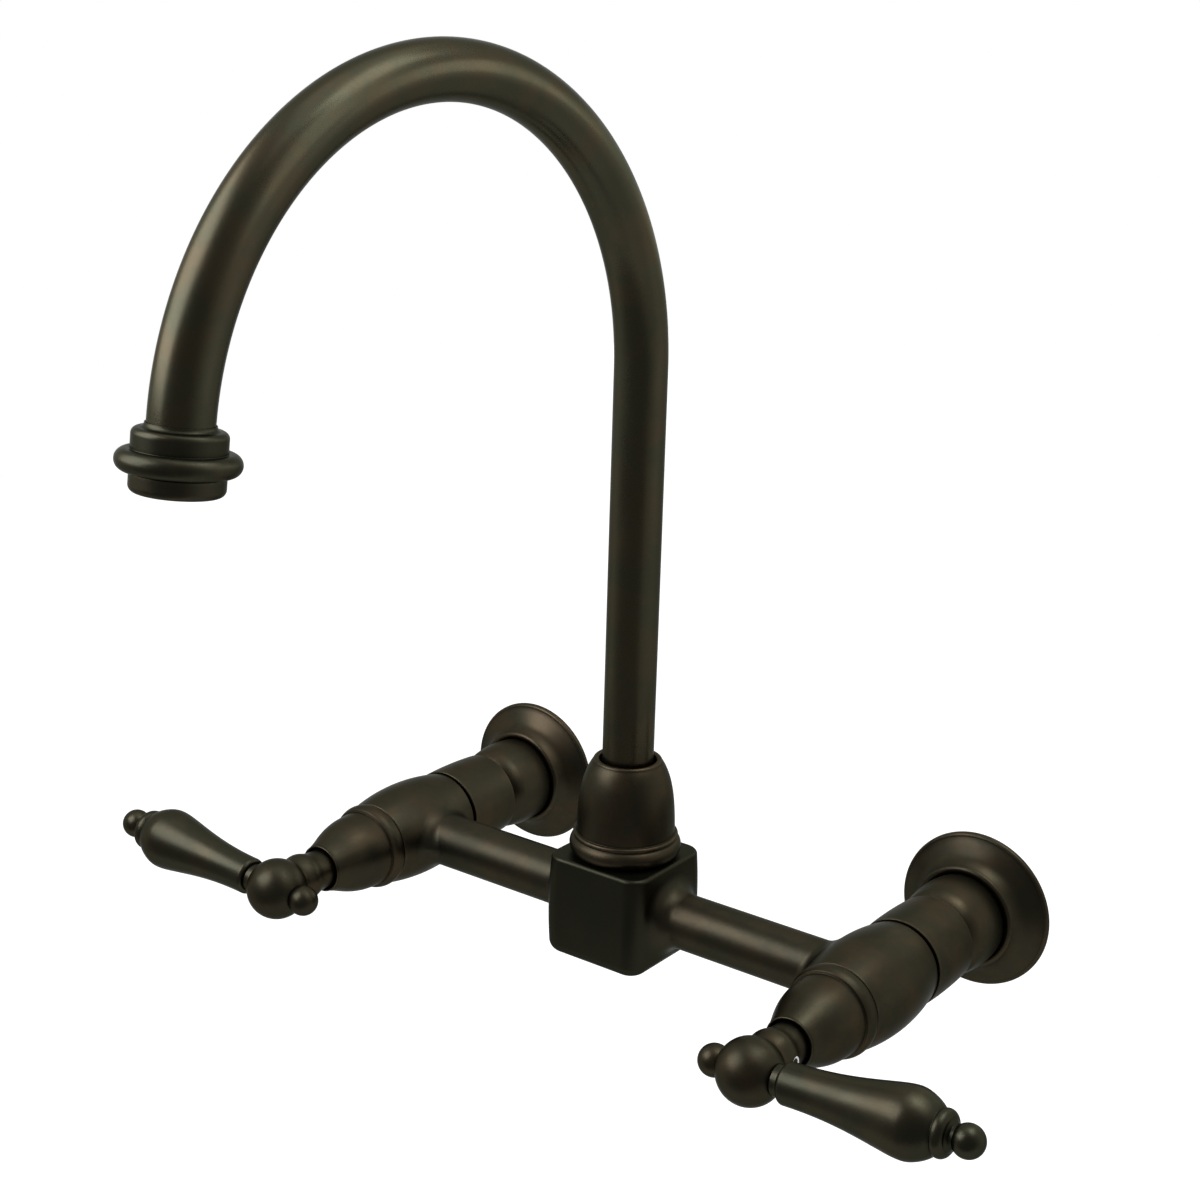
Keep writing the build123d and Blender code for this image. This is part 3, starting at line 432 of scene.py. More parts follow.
def make_finish_and_shade_group():
    """Oil-rubbed finish: clouds of the dark and the base tone, warm blushes, worn crests, shaded grooves.

    The clouds are 30 mm noise, the blushes 16 mm noise and the flecks in them 4 mm noise.
    Crests take the worn tone where the piece's rub attribute is high and a 2 mm noise lets
    it; grooves take the dark tone as painted shade.  Clouds and a 0.5 mm satin grain vary the gloss.
    """
    group, given, made = new_group(
        "oil_rubbed_finish_and_crease_shade",
        (
            ("Base", "NodeSocketColor", (0.1, 0.08, 0.06, 1)),
            ("Dark", "NodeSocketColor", (0.03, 0.025, 0.02, 1)),
            ("Warm", "NodeSocketColor", (0.15, 0.08, 0.05, 1)),
            ("Worn", "NodeSocketColor", (0.3, 0.2, 0.12, 1)),
            ("Wear", "NodeSocketFloat", 0.4),
            ("Gloss", "NodeSocketFloat", 0.4),
        ),
        (
            ("Colour", "NodeSocketColor"),
            ("Roughness", "NodeSocketFloat"),
            ("Height", "NodeSocketFloat"),
        ),
    )
    base, dark, warm, worn, wear, gloss = list(given.outputs)[:6]
    where = add_node(group, "ShaderNodeTexCoord").outputs["Object"]
    rub = add_node(group, "ShaderNodeAttribute", attribute_name="rub").outputs["Fac"]
    clouds = noise(group, where, 34, 4)
    blushes = noise(group, where, 62, 3, 0.6)
    flecks = noise(group, where, 260, 3, 0.6)
    satin = noise(group, where, 2100, 2, 0.6)
    patches = noise(group, where, 480, 3, 0.65)
    crest = combined(
        group, "MULTIPLY",
        scaled(group, rub, 0.06, 0.6, 0, 1), scaled(group, patches, 0.36, 0.62, 0.25, 1),
    )
    crest = combined(group, "MULTIPLY", crest, wear)
    shade = base
    for amount, tone in (
        (scaled(group, clouds, 0.38, 0.66, 0, 0.34), dark),
        (scaled(group, blushes, 0.42, 0.66, 0, 0.75), warm),
        (scaled(group, flecks, 0.5, 0.72, 0, 0.42), warm),
        # painted shade: grooves and creases drawn towards the dark tone
        (scaled(group, rub, -0.08, -0.7, 0, 0.75), dark),
        (crest, worn),
    ):
        shade = mix_colours(group, amount, shade, tone)
    gloss = combined(group, "ADD", gloss, scaled(group, clouds, 0.3, 0.7, -0.045, 0.05))
    gloss = combined(group, "ADD", gloss, scaled(group, satin, 0.3, 0.7, -0.03, 0.03))
    gloss = combined(group, "SUBTRACT", gloss, combined(group, "MULTIPLY", crest, 0.1))
    height = combined(group, "ADD", combined(group, "MULTIPLY", flecks, 0.35), satin)
    group.links.new(shade, made.inputs["Colour"])
    group.links.new(gloss, made.inputs["Roughness"])
    group.links.new(height, made.inputs["Height"])
    return group


def new_material(name, metallic, bump, bump_distance=0.1 * MM):
    """Principled material whose bump waits for a height; returns it with its nodes."""
    material = bpy.data.materials.new(name)
    material.use_nodes = True
    tree = material.node_tree
    shader = tree.nodes["Principled BSDF"]
    shader.inputs["Metallic"].default_value = metallic
    relief = add_node(tree, "ShaderNodeBump", _Strength=bump, _Distance=bump_distance)
    tree.links.new(relief.outputs["Normal"], shader.inputs["Normal"])
    return material, tree, shader, relief


def make_bronze(name, group, base, dark, warm, worn, wear, gloss, painted_shade_within=None):
    """Bronze under its dark skin of oil, whose gloss at grazing angles is held down.

    Painted shade: the colour is drawn towards the dark tone within a distance to the left and
    right of the middle, if one is given, and eases off over the next 6 mm.
    """
    grazing_gloss, darkest, fade = (0.50, 0.51, 0.50, 1), 0.85, 6 * MM
    material, tree, shader, relief = new_material(name, 1.0, 0.25, 0.04 * MM)
    shader.inputs["Specular Tint"].default_value = grazing_gloss
    finish = add_node(tree, "ShaderNodeGroup", node_tree=group)
    for label, value in (("Base", base), ("Dark", dark), ("Warm", warm), ("Worn", worn)):
        finish.inputs[label].default_value = (*value, 1)
    finish.inputs["Wear"].default_value = wear
    finish.inputs["Gloss"].default_value = gloss
    colour = finish.outputs["Colour"]
    if painted_shade_within:
        apart = add_node(tree, "ShaderNodeSeparateXYZ")
        tree.links.new(add_node(tree, "ShaderNodeTexCoord").outputs["Object"], apart.inputs[0])
        aside = combined(tree, "ABSOLUTE", apart.outputs["X"], 0.0)
        # painted shade over the middle block, fading out along the arms
        block_shade = scaled(tree, aside, painted_shade_within, painted_shade_within + fade, darkest, 0)
        colour = mix_colours(tree, block_shade, colour, (*dark, 1))
    tree.links.new(colour, shader.inputs["Base Color"])
    tree.links.new(finish.outputs["Roughness"], shader.inputs["Roughness"])
    tree.links.new(finish.outputs["Height"], relief.inputs["Height"])
    return material


def make_plain(name, colour, other, gloss, metallic=0.0):
    """Moulded or machined inner piece: two close tones in clouds, with a fine grain."""
    material, tree, shader, relief = new_material(name, metallic, 0.15)
    where = add_node(tree, "ShaderNodeTexCoord").outputs["Object"]
    clouds = noise(tree, where, 60, 3)
    grain = noise(tree, where, 1500, 2)
    tone = mix_colours(tree, scaled(tree, clouds, 0.35, 0.65, 0, 1), (*colour, 1), (*other, 1))
    roughness = scaled(tree, grain, 0.3, 0.7, gloss - 0.06, gloss + 0.06)
    tree.links.new(tone, shader.inputs["Base Color"])
    tree.links.new(roughness, shader.inputs["Roughness"])
    tree.links.new(grain, relief.inputs["Height"])
    return material


finish_and_shade_group = make_finish_and_shade_group()
# copies differ in tone partly as the smoother drawn tube, partly as painted shade on the lower castings
bronze = make_bronze(
    "oil_rubbed_bronze", finish_and_shade_group,
    base=(0.0333, 0.0302, 0.0190), dark=(0.0206, 0.0198, 0.0131),
    warm=(0.0455, 0.0332, 0.0196), worn=(0.110, 0.076, 0.047), wear=0.15, gloss=0.38,
)
lever_bronze = make_bronze(
    "oil_rubbed_bronze_levers", finish_and_shade_group,
    base=(0.0331, 0.0322, 0.0211), dark=(0.0222, 0.0222, 0.0148),
    warm=(0.0420, 0.0350, 0.0214), worn=(0.105, 0.080, 0.053), wear=0.16, gloss=0.36,
)
bridge_bronze = make_bronze(
    "oil_rubbed_bronze_bridge", finish_and_shade_group,
    base=(0.0325, 0.0299, 0.0192), dark=(0.0195, 0.0195, 0.0129),
    warm=(0.0420, 0.0330, 0.0204), worn=(0.100, 0.072, 0.046), wear=0.15, gloss=0.38,
    # painted shade on the block, within 18.5 mm of the middle
    painted_shade_within=18.5 * MM,
)
spout_bronze = make_bronze(
    "oil_rubbed_bronze_spout", finish_and_shade_group,
    base=(0.0482, 0.0463, 0.0292), dark=(0.0338, 0.0335, 0.0209),
    warm=(0.0580, 0.0458, 0.0275), worn=(0.110, 0.095, 0.064), wear=0.30, gloss=0.31,
)
raw_brass = make_plain("machined_brass", (0.72, 0.52, 0.24), (0.62, 0.43, 0.19), 0.32, 1.0)
ceramic = make_plain("lapped_ceramic", (0.86, 0.85, 0.81), (0.82, 0.81, 0.77), 0.22)
rubber = make_plain("black_nitrile", (0.02, 0.02, 0.02), (0.035, 0.035, 0.034), 0.62)
acetal = make_plain("white_acetal", (0.84, 0.84, 0.82), (0.78, 0.78, 0.76), 0.42)
steel = make_plain("bright_steel", (0.72, 0.72, 0.70), (0.62, 0.62, 0.61), 0.2, 1.0)
fibre = make_plain("red_fibre", (0.33, 0.08, 0.05), (0.26, 0.07, 0.05), 0.75)
by_slot = {
    "bronze_finish": bronze, "raw_brass": raw_brass, "ceramic": ceramic, "rubber": rubber,
    "plastic": acetal, "steel": steel, "fibre": fibre,
}
slot_of = {part["node"]: part["material_slot"] for part in frame["record"]["subparts"]}
for node, piece in frame["nodes"].items():
    piece.data.materials.clear()
    piece.data.materials.append(by_slot[slot_of[node]])


# ------------------------------------------------------------------ wall side
def make_escutcheon(side):
    """Rose turned like a trumpet's bell: rounded rim, hollow sweep, lip round the sleeve."""
    outline = join(
        line((0, 27.35), (0, 28.85), (0.9, 28.85)),
        arc((0.9, 28.85), (1.75, 28.45), (2.1, 27.6)),
        curve(
            [(2.1, 27.6), (2.65, 26.3), (3.9, 24.3), (5.05, 22.7), (6.5, 21.1), (8.5, 19.75),
             (10.2, 19.1)],
            (0.35, -1), (1, -0.2),
        ),
        arc((10.2, 19.1), (11.0, 18.1), (10.5, 16.7)),
        line((9.9, 16.0), (8.2, 15.61), (4.6, 15.61), (4.6, 20.2), (1.2, 27.35), (0, 27.35)),
    )
    return turned(refine(soften(outline, 0.35)), on_valve(side), 144)


def pipe_thread(outline, angle):
    """Deepening of the tapped bore: a triangle wave of the station less the helix's rise.

    The wave is cut off above and below, which makes the thread's flat crests and roots.
    """
    pitch, depth, first, last = 1.814, 1.0, 1.6, 18.6
    station, radius = outline[:, :1], outline[:, 1:]
    wave = np.abs(2 * ((station / pitch - angle[None] / (2 * np.pi)) % 1) - 1)
    tapped = (np.abs(radius - pipe_bore) < 0.02) & (station > first) & (station < last)
    return np.where(tapped, depth * np.clip(1.5 * wave - 0.25, 0, 1), 0)


def make_inlet_union(side):
    """Bellied sleeve with a tapped bore at the wall and a threaded spigot in front."""
    outline = join(
        line((1.0, pipe_bore), (1.0, 15.6), (10.3, 15.6), (10.8, 16.35)),
        arc((10.8, 16.35), (18.0, 17.0), (25.6, 16.25)),
        arc((25.6, 16.25), (29.2, 14.95), (31.6, 12.9), 20),
        line(
            (31.9, spigot_radius), (44.0, spigot_radius), (44.0, waterway), (19.0, waterway),
            (19.0, pipe_bore), (1.0, pipe_bore),
        ),
    )
    fine = refine(soften(outline, 0.3), 0.22)
    return turned(fine, on_valve(side), 96, pipe_thread)


def make_union_nut(side):
    """Smooth coupling nut, a touch fuller at its middle, with a crisp lip in front."""
    outline = join(
        line((33.05, 12.4), (33.05, 15.6), (33.45, 16.0)),
        arc((33.45, 16.0), (45.35, 16.5), (57.45, 16.25), 40),
        line((57.65, 16.05), (57.65, 10.9), (48.05, 10.9), (48.05, 12.4), (33.05, 12.4)),
    )
    return turned(refine(soften(outline, 0.25)), on_valve(side))


# ------------------------------------------------------------------ bridge casting
def belly_radius(station):
    """Radius of the barrel's belly at a station: the circle through its ends and middle."""
    back, front = barrel_ends
    belly = arc(
        (back, barrel_end_radius), (arm_station, barrel_belly), (front, barrel_end_radius), 400
    )
    return np.interp(station, belly[:, 0], belly[:, 1])


def make_barrel(side):
    """Bellied barrel with its tail flange, neck, threaded spigot, waterway and chamber."""
    back, front = barrel_ends
    outline = join(
        line(
            (45.6, waterway), (45.6, spigot_radius), (48.0, spigot_radius), (48.0, 10.8),
            (back, 10.8), (back, barrel_end_radius),
        ),
        arc(
            (back, barrel_end_radius), (arm_station, barrel_belly), (front, barrel_end_radius), 60
        ),
        line(
            (front, 13.4), (spigot_front, 13.4), (spigot_front, chamber_radius),
            (chamber_back, chamber_radius), (chamber_back, waterway), (45.6, waterway),
        ),
    )
    return turned(refine(soften(outline, 0.45)), on_valve(side), 160)


def square_ray(angle, half_width, corner):
    """Distance along each ray to a square with rounded corners.

    On a flat it is half_width / cos; on a corner it solves |ray - centre| = corner radius.
    """
    wide = np.maximum(np.abs(np.cos(angle)), np.abs(np.sin(angle)))
    narrow = np.minimum(np.abs(np.cos(angle)), np.abs(np.sin(angle)))
    centre = half_width - corner
    flat = half_width / wide
    reach = centre * (wide + narrow)
    bent = reach + np.sqrt(np.maximum(reach**2 - 2 * centre**2 + corner**2, 0))
    return np.where(flat * narrow <= centre, flat, bent)


def block_side(height):
    """Half width of the block at a height: the bowed side is an arc of small rise."""
    middle, half = (block_top + block_bottom) / 2, (block_top - block_bottom) / 2
    return block_half_width + block_bulge * (1 - ((height - middle) / half) ** 2)


def make_block():
    """Square block, its boss and the socket in it, as one closed surface.

    A point is its row's reach along a ray, at the row's height.  Rows run from the middle
    of the underside, out and up the bowed sides, in over the top, up the boss and down the
    socket.  Rays are closest at the rounded corners.  A rounded edge is a quarter circle,
    whose inset also comes off the corner's radius.
    """
    boss_top, socket_radius, socket_bottom = 29.0, 10.7, -6.7
    under_width = block_half_width - block_under_fillet
    under_corner = block_corner - block_under_fillet
    corner_ray = np.arctan2(block_half_width - block_corner, block_half_width)
    flat_part = np.linspace(0, corner_ray, 15)[:-1]
    corner_part = np.linspace(corner_ray, np.pi / 4, 12)[:-1]
    octant = np.r_[flat_part, corner_part]
    quarter = np.r_[octant, np.pi / 2 - np.r_[octant, np.pi / 4][::-1][:-1]]
    angle = np.concatenate([quarter + turn * np.pi / 2 for turn in range(4)])
    rows = [(0 * angle, block_bottom)]
    for share in np.linspace(0.12, 1, 12):
        rows.append((square_ray(angle, under_width, under_corner) * share, block_bottom))
    for turn in np.linspace(0, np.pi / 2, 16)[1:]:
        height = block_bottom + block_under_fillet * (1 - np.cos(turn))
        inset = block_under_fillet * (1 - np.sin(turn))
        rows.append((square_ray(angle, block_side(height) - inset, block_corner - inset), height))
    side_bottom, side_top = block_bottom + block_under_fillet, block_top - block_top_fillet
    for height in np.linspace(side_bottom, side_top, 32)[1:]:
        rows.append((square_ray(angle, block_side(height), block_corner), height))
    for turn in np.linspace(0, np.pi / 2, 15)[1:]:
        height = block_top - block_top_fillet * (1 - np.sin(turn))
        inset = block_top_fillet * (1 - np.cos(turn))
        rows.append((square_ray(angle, block_side(height) - inset, block_corner - inset), height))
    rim = rows[-1][0]
    for share in np.linspace(0, 1, 9)[1:]:
        rows.append((rim * (1 - share) + boss_radius * share, block_top))
    boss = line(
        (block_top, boss_radius), (boss_top, boss_radius), (boss_top, socket_radius),
        (socket_bottom, socket_radius), (socket_bottom, 0),
    )
    boss = refine(soften(boss, 0.3, closed=False), 1.5)
    rows += [(radius + 0 * angle, height) for height, radius in boss[1:]]
    reach = np.array([row for row, _ in rows])
    height = np.array([at + 0 * angle for _, at in rows])
    return np.stack(
        [np.cos(angle) * reach, np.sin(angle) * reach - arm_station, height], -1
    )


def make_arm(side):
    """Bridge arm whose ends flare into the block and the barrel.

    A flare of radius f leaves the arm along a quarter circle and lies down on the surface
    that it meets: at a distance d outside the arm it stands f - sqrt(f^2 - (f - d)^2) off
    that surface.  Where the barrel slopes away, f shrinks by the tangent of half the angle
    left between them.  Past its foot the flare dips gently under the surface, so that no
    edge shows, and ends in a cap inside the casting.
    """
    angle = np.linspace(0, 2 * np.pi, 144, endpoint=False)
    across, upward = np.cos(angle), np.sin(angle)
    sunk, cap_depth = 0.004, 2.0

    def drop(beyond, rounding):
        """How far a rounding of the block's edge has fallen away, beyond its start."""
        beyond = np.clip(beyond, 0, 0.98 * rounding)
        return rounding - np.sqrt(rounding**2 - beyond**2)

    def face_of_block(outward, lift):
        """Where the block's side stands: its bow less the three roundings of its edges."""
        side_face = block_side(lift)
        upright = drop(np.abs(outward) - (side_face - block_corner), block_corner)
        under = drop(block_bottom + block_under_fillet - lift, block_under_fillet)
        over = drop(lift - block_top + block_top_fillet, block_top_fillet)
        return side_face - upright - under - over

    def face_of_barrel(outward, lift):
        """Where the barrel stands: valve_x - sqrt(radius^2 - lift^2)."""
        radius = belly_radius(arm_station + outward)
        return valve_x - np.sqrt(np.maximum(radius**2 - lift**2, 1))

    slope = np.arcsin(arm_radius * upward / barrel_belly)
    ends = (
        (face_of_block, 1, block_root_fillet + 0 * angle),
        (face_of_barrel, -1, arm_root_fillet * np.tan((np.pi / 2 - np.abs(slope)) / 2)),
    )
    halves = []
    for face, way, fillet in ends:
        rows = []
        for share in (0.0, 0.25, 0.5, 0.75, 0.94):
            radius = (arm_radius + fillet) * share
            rows.append((face(radius * across, radius * upward) - way * cap_depth, radius))
        for beyond, dip in ((0.9, 0.09), (0.6, 0.04), (0.3, 0.012)):
            radius = arm_radius + fillet + beyond
            rows.append((face(radius * across, radius * upward) - way * (dip + sunk), radius))
        for turn in np.linspace(0, np.pi / 2, 30):
            radius = arm_radius + fillet * (1 - np.sin(turn))
            off = fillet * (1 - np.cos(turn)) - sunk
            rows.append((face(radius * across, radius * upward) + way * off, radius))
        halves.append(rows)
    middle = [
        (halves[0][-1][0] * (1 - share) + halves[1][-1][0] * share, arm_radius + 0 * angle)
        for share in np.linspace(0, 1, 22)[1:-1]
    ]
    rows = halves[0] + middle + halves[1][::-1]
    x = side * np.array([along + 0 * angle for along, _ in rows])
    radius = np.array([reach + 0 * angle for _, reach in rows])
    return np.stack([x, -arm_station - radius * across, radius * upward], -1)


# ------------------------------------------------------------------ bonnet and handle
def make_bonnet(side):
    """Bell-shaped bonnet: narrow rounded ring, small step, dome and rolled mouth."""
    outline = join(
        arc((99.0, 15.7), (101.8, 16.1), (104.3, 15.2)),
        line((104.3, 15.2), (104.6, 14.4)),
        curve(
            [(104.6, 14.4), (112.0, 13.9), (119.0, 12.0), (125.0, 9.6), (127.5, 8.7)],
            (1, -0.02), (0.9, -0.4),
        ),
        arc((127.5, 8.7), (128.2, 8.4), (127.7, 8.05)),
        line(
            (121.2, 8.05), (115.0, 11.6), (105.25, 11.6), (105.25, 13.5), (99.0, 13.5),
            (99.0, 15.7),
        ),
    )
    return turned(refine(soften(outline, 0.25)), on_valve(side), 144)


def make_hub(side):
    """Hub turned about the valve: tapered neck, bulb, waist and ball, bored for the spline.

    Two flats are made by holding each point's reach along the lever between the finial's
    seat and the collar's.
    """
    neck_back, neck_front, neck_radius = 122.7, hub_station - 24.0, 7.2
    bore_radius, bore_end = 4.25, 141.25
    finial_seat, collar_seat, flats_from = 10.06, 9.69, hub_station - 9.0
    waist = 7.0
    waist_radius = np.sqrt(hub_radius**2 - waist**2)
    ball_tip = (hub_station + hub_radius, 0)
    shoulders = [
        (hub_station - behind, radius)
        for behind, radius in (
            (24.0, neck_radius), (19.6, 7.3), (16.5, 7.8), (bulb_offset, bulb_radius),
            (9.2, 8.25), (waist, waist_radius),
        )
    ]
    outline = join(
        line((neck_back, bore_radius), (neck_back, neck_radius), (neck_front, neck_radius)),
        curve(shoulders, (1, 0), (waist_radius, waist)),
        arc(shoulders[-1], (hub_station, hub_radius), ball_tip, 60),
    )
    inside = line((bore_end, 0), (bore_end, bore_radius), (neck_back, bore_radius))
    outer = refine(soften(outline, 0.3, closed=False), 0.45)
    points = turned(np.concatenate([outer, refine(inside)[:-1]]), on_valve(side), 144)
    heading = lever_direction(side)
    reach = (points - np.array([side * valve_x, 0, 0])) @ heading
    near_ball = points[..., 1] < -flats_from
    held = np.where(near_ball, np.clip(reach, -finial_seat, collar_seat), reach)
    return points + (held - reach)[..., None] * heading


def make_lever(side):
    """Turned lever: eased root, pear-shaped belly, bead, neck, end ball, stud at the root."""
    root, root_radius, belly, fullest = 12.44, 6.8, 56.0, 11.3
    rise, run = fullest - root_radius, belly - root
    ease, ease_middle = 1.6, 0.47
    stud_end, stud_radius = 3.79, 3.0
    ball, ball_radius, neck = 74.5, 5.3, 4.0
    ball_back = ball - np.sqrt(ball_radius**2 - neck**2)
    outline = join(
        line((stud_end, 0), (stud_end, stud_radius), (root, stud_radius)),
        arc(
            (root, root_radius - ease), (root + ease_middle, root_radius - ease_middle),
            (root + ease, root_radius), 12,
        ),
        curve(
            [
                (root + ease, root_radius),
                (root + 0.3 * run, root_radius + 0.08 * rise),
                (root + 0.58 * run, root_radius + 0.38 * rise),
                (root + 0.85 * run, root_radius + 0.83 * rise),
                (belly, fullest),
            ],
            (1, 0), (1, 0), 90,
        ),
        curve([(belly, fullest), (60.0, 10.4), (63.8, 8.3)], (1, 0), (1, -0.75), 50),
        line((63.8, 8.3), (65.2, 7.1)),
        arc((65.2, 7.1), (67.0, 7.5), (69.2, 5.3)),
        line((69.2, 5.3), (70.1, neck), (ball_back, neck)),
        arc((ball_back, neck), (ball, ball_radius), (ball + ball_radius, 0), 60),
    )
    return turned(refine(soften(outline, 0.22, closed=False), 0.7), on_lever(side))


def make_lever_collar(side):
    """Turned collar between the hub's ball and the lever's root, bored for the stud."""
    outline = line((9.7, 3.1), (9.7, 5.2), (12.39, 5.2), (12.39, 3.1), (9.7, 3.1))
    return turned(refine(soften(outline, 0.45), 0.5), on_lever(side), 96)


def make_finial(side):
    """Ball knob, turned about the lever's axis on its far side, on a short stud."""
    stud_end, stud_radius = -6.16, 2.0
    seat, centre, radius = -10.11, -13.1, 5.4
    seat_radius = np.sqrt(radius**2 - (centre - seat) ** 2)
    outline = join(
        line((stud_end, 0), (stud_end, stud_radius), (seat, stud_radius), (seat, seat_radius)),
        arc((seat, seat_radius), (centre, radius), (centre - radius, 0), 50),
    )
    return turned(refine(soften(outline, 0.2, closed=False), 0.5), on_lever(side), 96)


def make_set_screw(side):
    """Socket set screw: chamfered cylinder, and a hexagonal socket sunk in its end.

    The socket's rim stands at across-flats / 2 / cos(angle to the nearest flat).
    """
    behind_bulb = (side * valve_x, bulb_offset - hub_station, 0)
    origin, axis, across, upward = place(behind_bulb, lever_direction(side))
    angle = 2 * np.pi * np.arange(96) / 96
    to_flat = (angle + np.pi / 6) % (np.pi / 3) - np.pi / 6
    hexagon, circle = 1 / np.cos(to_flat), 1 + 0 * angle
    inner, outer, socket, radius = 4.2, 8.62, 6.9, 2.0
    rows = [(inner, 0 * angle), (inner, 1.4 * circle), (inner + 0.5, radius * circle)]
    rows += [(along, radius * circle) for along in np.linspace(inner + 0.6, outer - 0.25, 9)]
    rows += [(outer - 0.2, 1.98 * circle), (outer, 1.8 * circle), (outer, 1.5 * circle)]
    rows += [(outer, hexagon + 0.08), (outer - 0.1, hexagon), (outer - 0.3, hexagon)]
    rows += [(socket + 0.2, hexagon), (socket, 0.96 * hexagon), (socket - 0.35, 0 * angle)]
    along = np.array([at for at, _ in rows])[:, None, None]
    reach = np.array([row for _, row in rows])[..., None]
    spread = np.cos(angle)[:, None] * across + np.sin(angle)[:, None] * upward
    return origin + along * axis + reach * spread


# ------------------------------------------------------------------ spout
def make_bell_nut():
    """Bell nut: bead, narrow ring, bell and rolled mouth, threaded and hollow inside."""
    outline = join(
        line((19.6, 14.5), (19.6, 17.8)),
        arc((19.6, 17.8), (22.9, 19.95), (26.0, 18.45), 40),
        line((26.0, 18.45), (26.2, 18.2)),
        arc((26.2, 18.2), (27.1, 18.75), (27.9, 18.0)),
        curve(
            [(28.0, 17.6), (33.0, 17.45), (39.0, 17.0), (46.0, 15.85), (51.0, 14.2), (54.4, 12.3)],
            (1, -0.01), (1, -0.72),
        ),
        arc((54.4, 12.3), (55.4, 11.1), (54.9, 10.2)),
        line((35.15, 10.2), (35.15, 13.8), (29.05, 13.8), (29.05, 14.5), (19.6, 14.5)),
    )
    return turned(refine(soften(outline, 0.3)), on_spout(), 160)


def make_tube():
    """Gooseneck: a ring carried up the straight leg, round the arch and down the tail.

    The ring goes there outside and comes back inside, so that the wall is real.  The leg
    is a line and the arch a circle of the spout's upright plane, and a point is
    centre + radius * (cos * inward + sin * sideways).
    """
    foot = 33.9
    sweep = np.radians(arch_sweep)
    leg = np.linspace(foot, tube_rise, 60)[:-1]
    turn = np.linspace(0, sweep, 150)
    tail = np.linspace(0, tube_tail, 4)[1:]
    forward = np.r_[0 * leg, arch_radius * (1 - np.cos(turn))]
    height = np.r_[leg, tube_rise + arch_radius * np.sin(turn)]
    forward = np.r_[forward, forward[-1] + tail * np.sin(sweep)]
    height = np.r_[height, height[-1] + tail * np.cos(sweep)]
    heading = np.r_[0 * leg, turn, sweep + 0 * tail]
    centre = np.array([spout_point(f, h) for f, h in zip(forward, height)])
    ahead = spout_point(1, 0) - spout_point(0, 0)
    inward = np.cos(heading)[:, None] * ahead - np.sin(heading)[:, None] * np.array([0, 0, 1])
    sideways = np.cross(ahead, (0, 0, 1))
    angle = np.linspace(0, 2 * np.pi, 128, endpoint=False)[:, None]
    ring = np.cos(angle)[None] * inward[:, None] + np.sin(angle)[None] * sideways
    outside = centre[:, None] + tube_radius * ring
    inside = centre[:, None] + tube_bore * ring
    return np.concatenate([outside, inside[::-1]])


def make_nozzle_collar():
    """Collar round the tube's end: brazed foot, rounded shoulder, band and heavy bead."""
    outline = join(
        line((-3.8, 9.2), (-3.8, 9.5)),
        arc((-3.8, 9.5), (-2.81, 9.91), (-2.4, 10.9), 12),
        arc((-2.4, 11.05), (-1.87, 12.32), (-0.6, 12.85), 16),
        arc((3.4, 12.85), (6.3, 16.85), (9.2, 12.85), 40),
        line(
            (9.4, 12.65), (9.4, 10.6), (1.4, 10.6), (1.4, 8.0), (0.05, 8.0), (0.05, 9.2),
            (-3.8, 9.2),
        ),
    )
    return turned(refine(soften(outline, 0.2), 0.6), on_outlet(), 144)


def make_skirt():
    """Aerator skirt below the bead, with a rounded rim and an inner lip."""
    outline = join(
        line((3.25, 8.9), (3.25, 10.5), (9.6, 10.5), (9.6, 12.9), (12.9, 12.9)),
        arc((12.9, 12.9), (14.31, 12.31), (14.9, 10.9)),
        line((14.9, 8.3), (13.7, 8.3), (13.7, 8.9), (3.25, 8.9)),
    )
    return turned(refine(soften(outline, 0.25), 0.6), on_outlet(), 144)


# ------------------------------------------------------------------ the pieces
BODY, FINISH, CASTING = "faucet_body", "bronze_finish", "bridge_body"
for hand, side in SIDES.items():
    handle = f"{hand}_handle"
    for name, maker in (
        ("escutcheon", make_escutcheon),
        ("inlet_union", make_inlet_union),
        ("union_nut", make_union_nut),
        ("bonnet", make_bonnet),
    ):
        node = f"{hand}_{name}"
        add_piece(node, maker(side), BODY, bronze, node)
    for name, maker, slot, material, closed in (
        ("handle_hub", make_hub, FINISH, bronze, False),
        ("lever", make_lever, FINISH, lever_bronze, False),
        ("lever_washer", make_lever_collar, FINISH, lever_bronze, True),
        ("finial", make_finial, FINISH, bronze, False),
        ("set_screw", make_set_screw, "steel", steel, False),
    ):
        node = f"{hand}_{name}"
        add_piece(node, maker(side), handle, material, node, closed)
    add_piece(f"{hand}_barrel", make_barrel(side), BODY, bronze, CASTING)
    add_piece(f"{hand}_bridge_arm", make_arm(side), BODY, bridge_bronze, CASTING, False)
add_piece("bridge_block", make_block(), BODY, bridge_bronze, CASTING, False)
add_piece("spout_nut", make_bell_nut(), BODY, bronze, "spout_nut")
for name, maker, material in (
    ("spout_tube", make_tube, spout_bronze),
    ("nozzle_collar", make_nozzle_collar, lever_bronze),
    ("aerator_skirt", make_skirt, lever_bronze),
):
    add_piece(name, maker(), "spout", material, name)


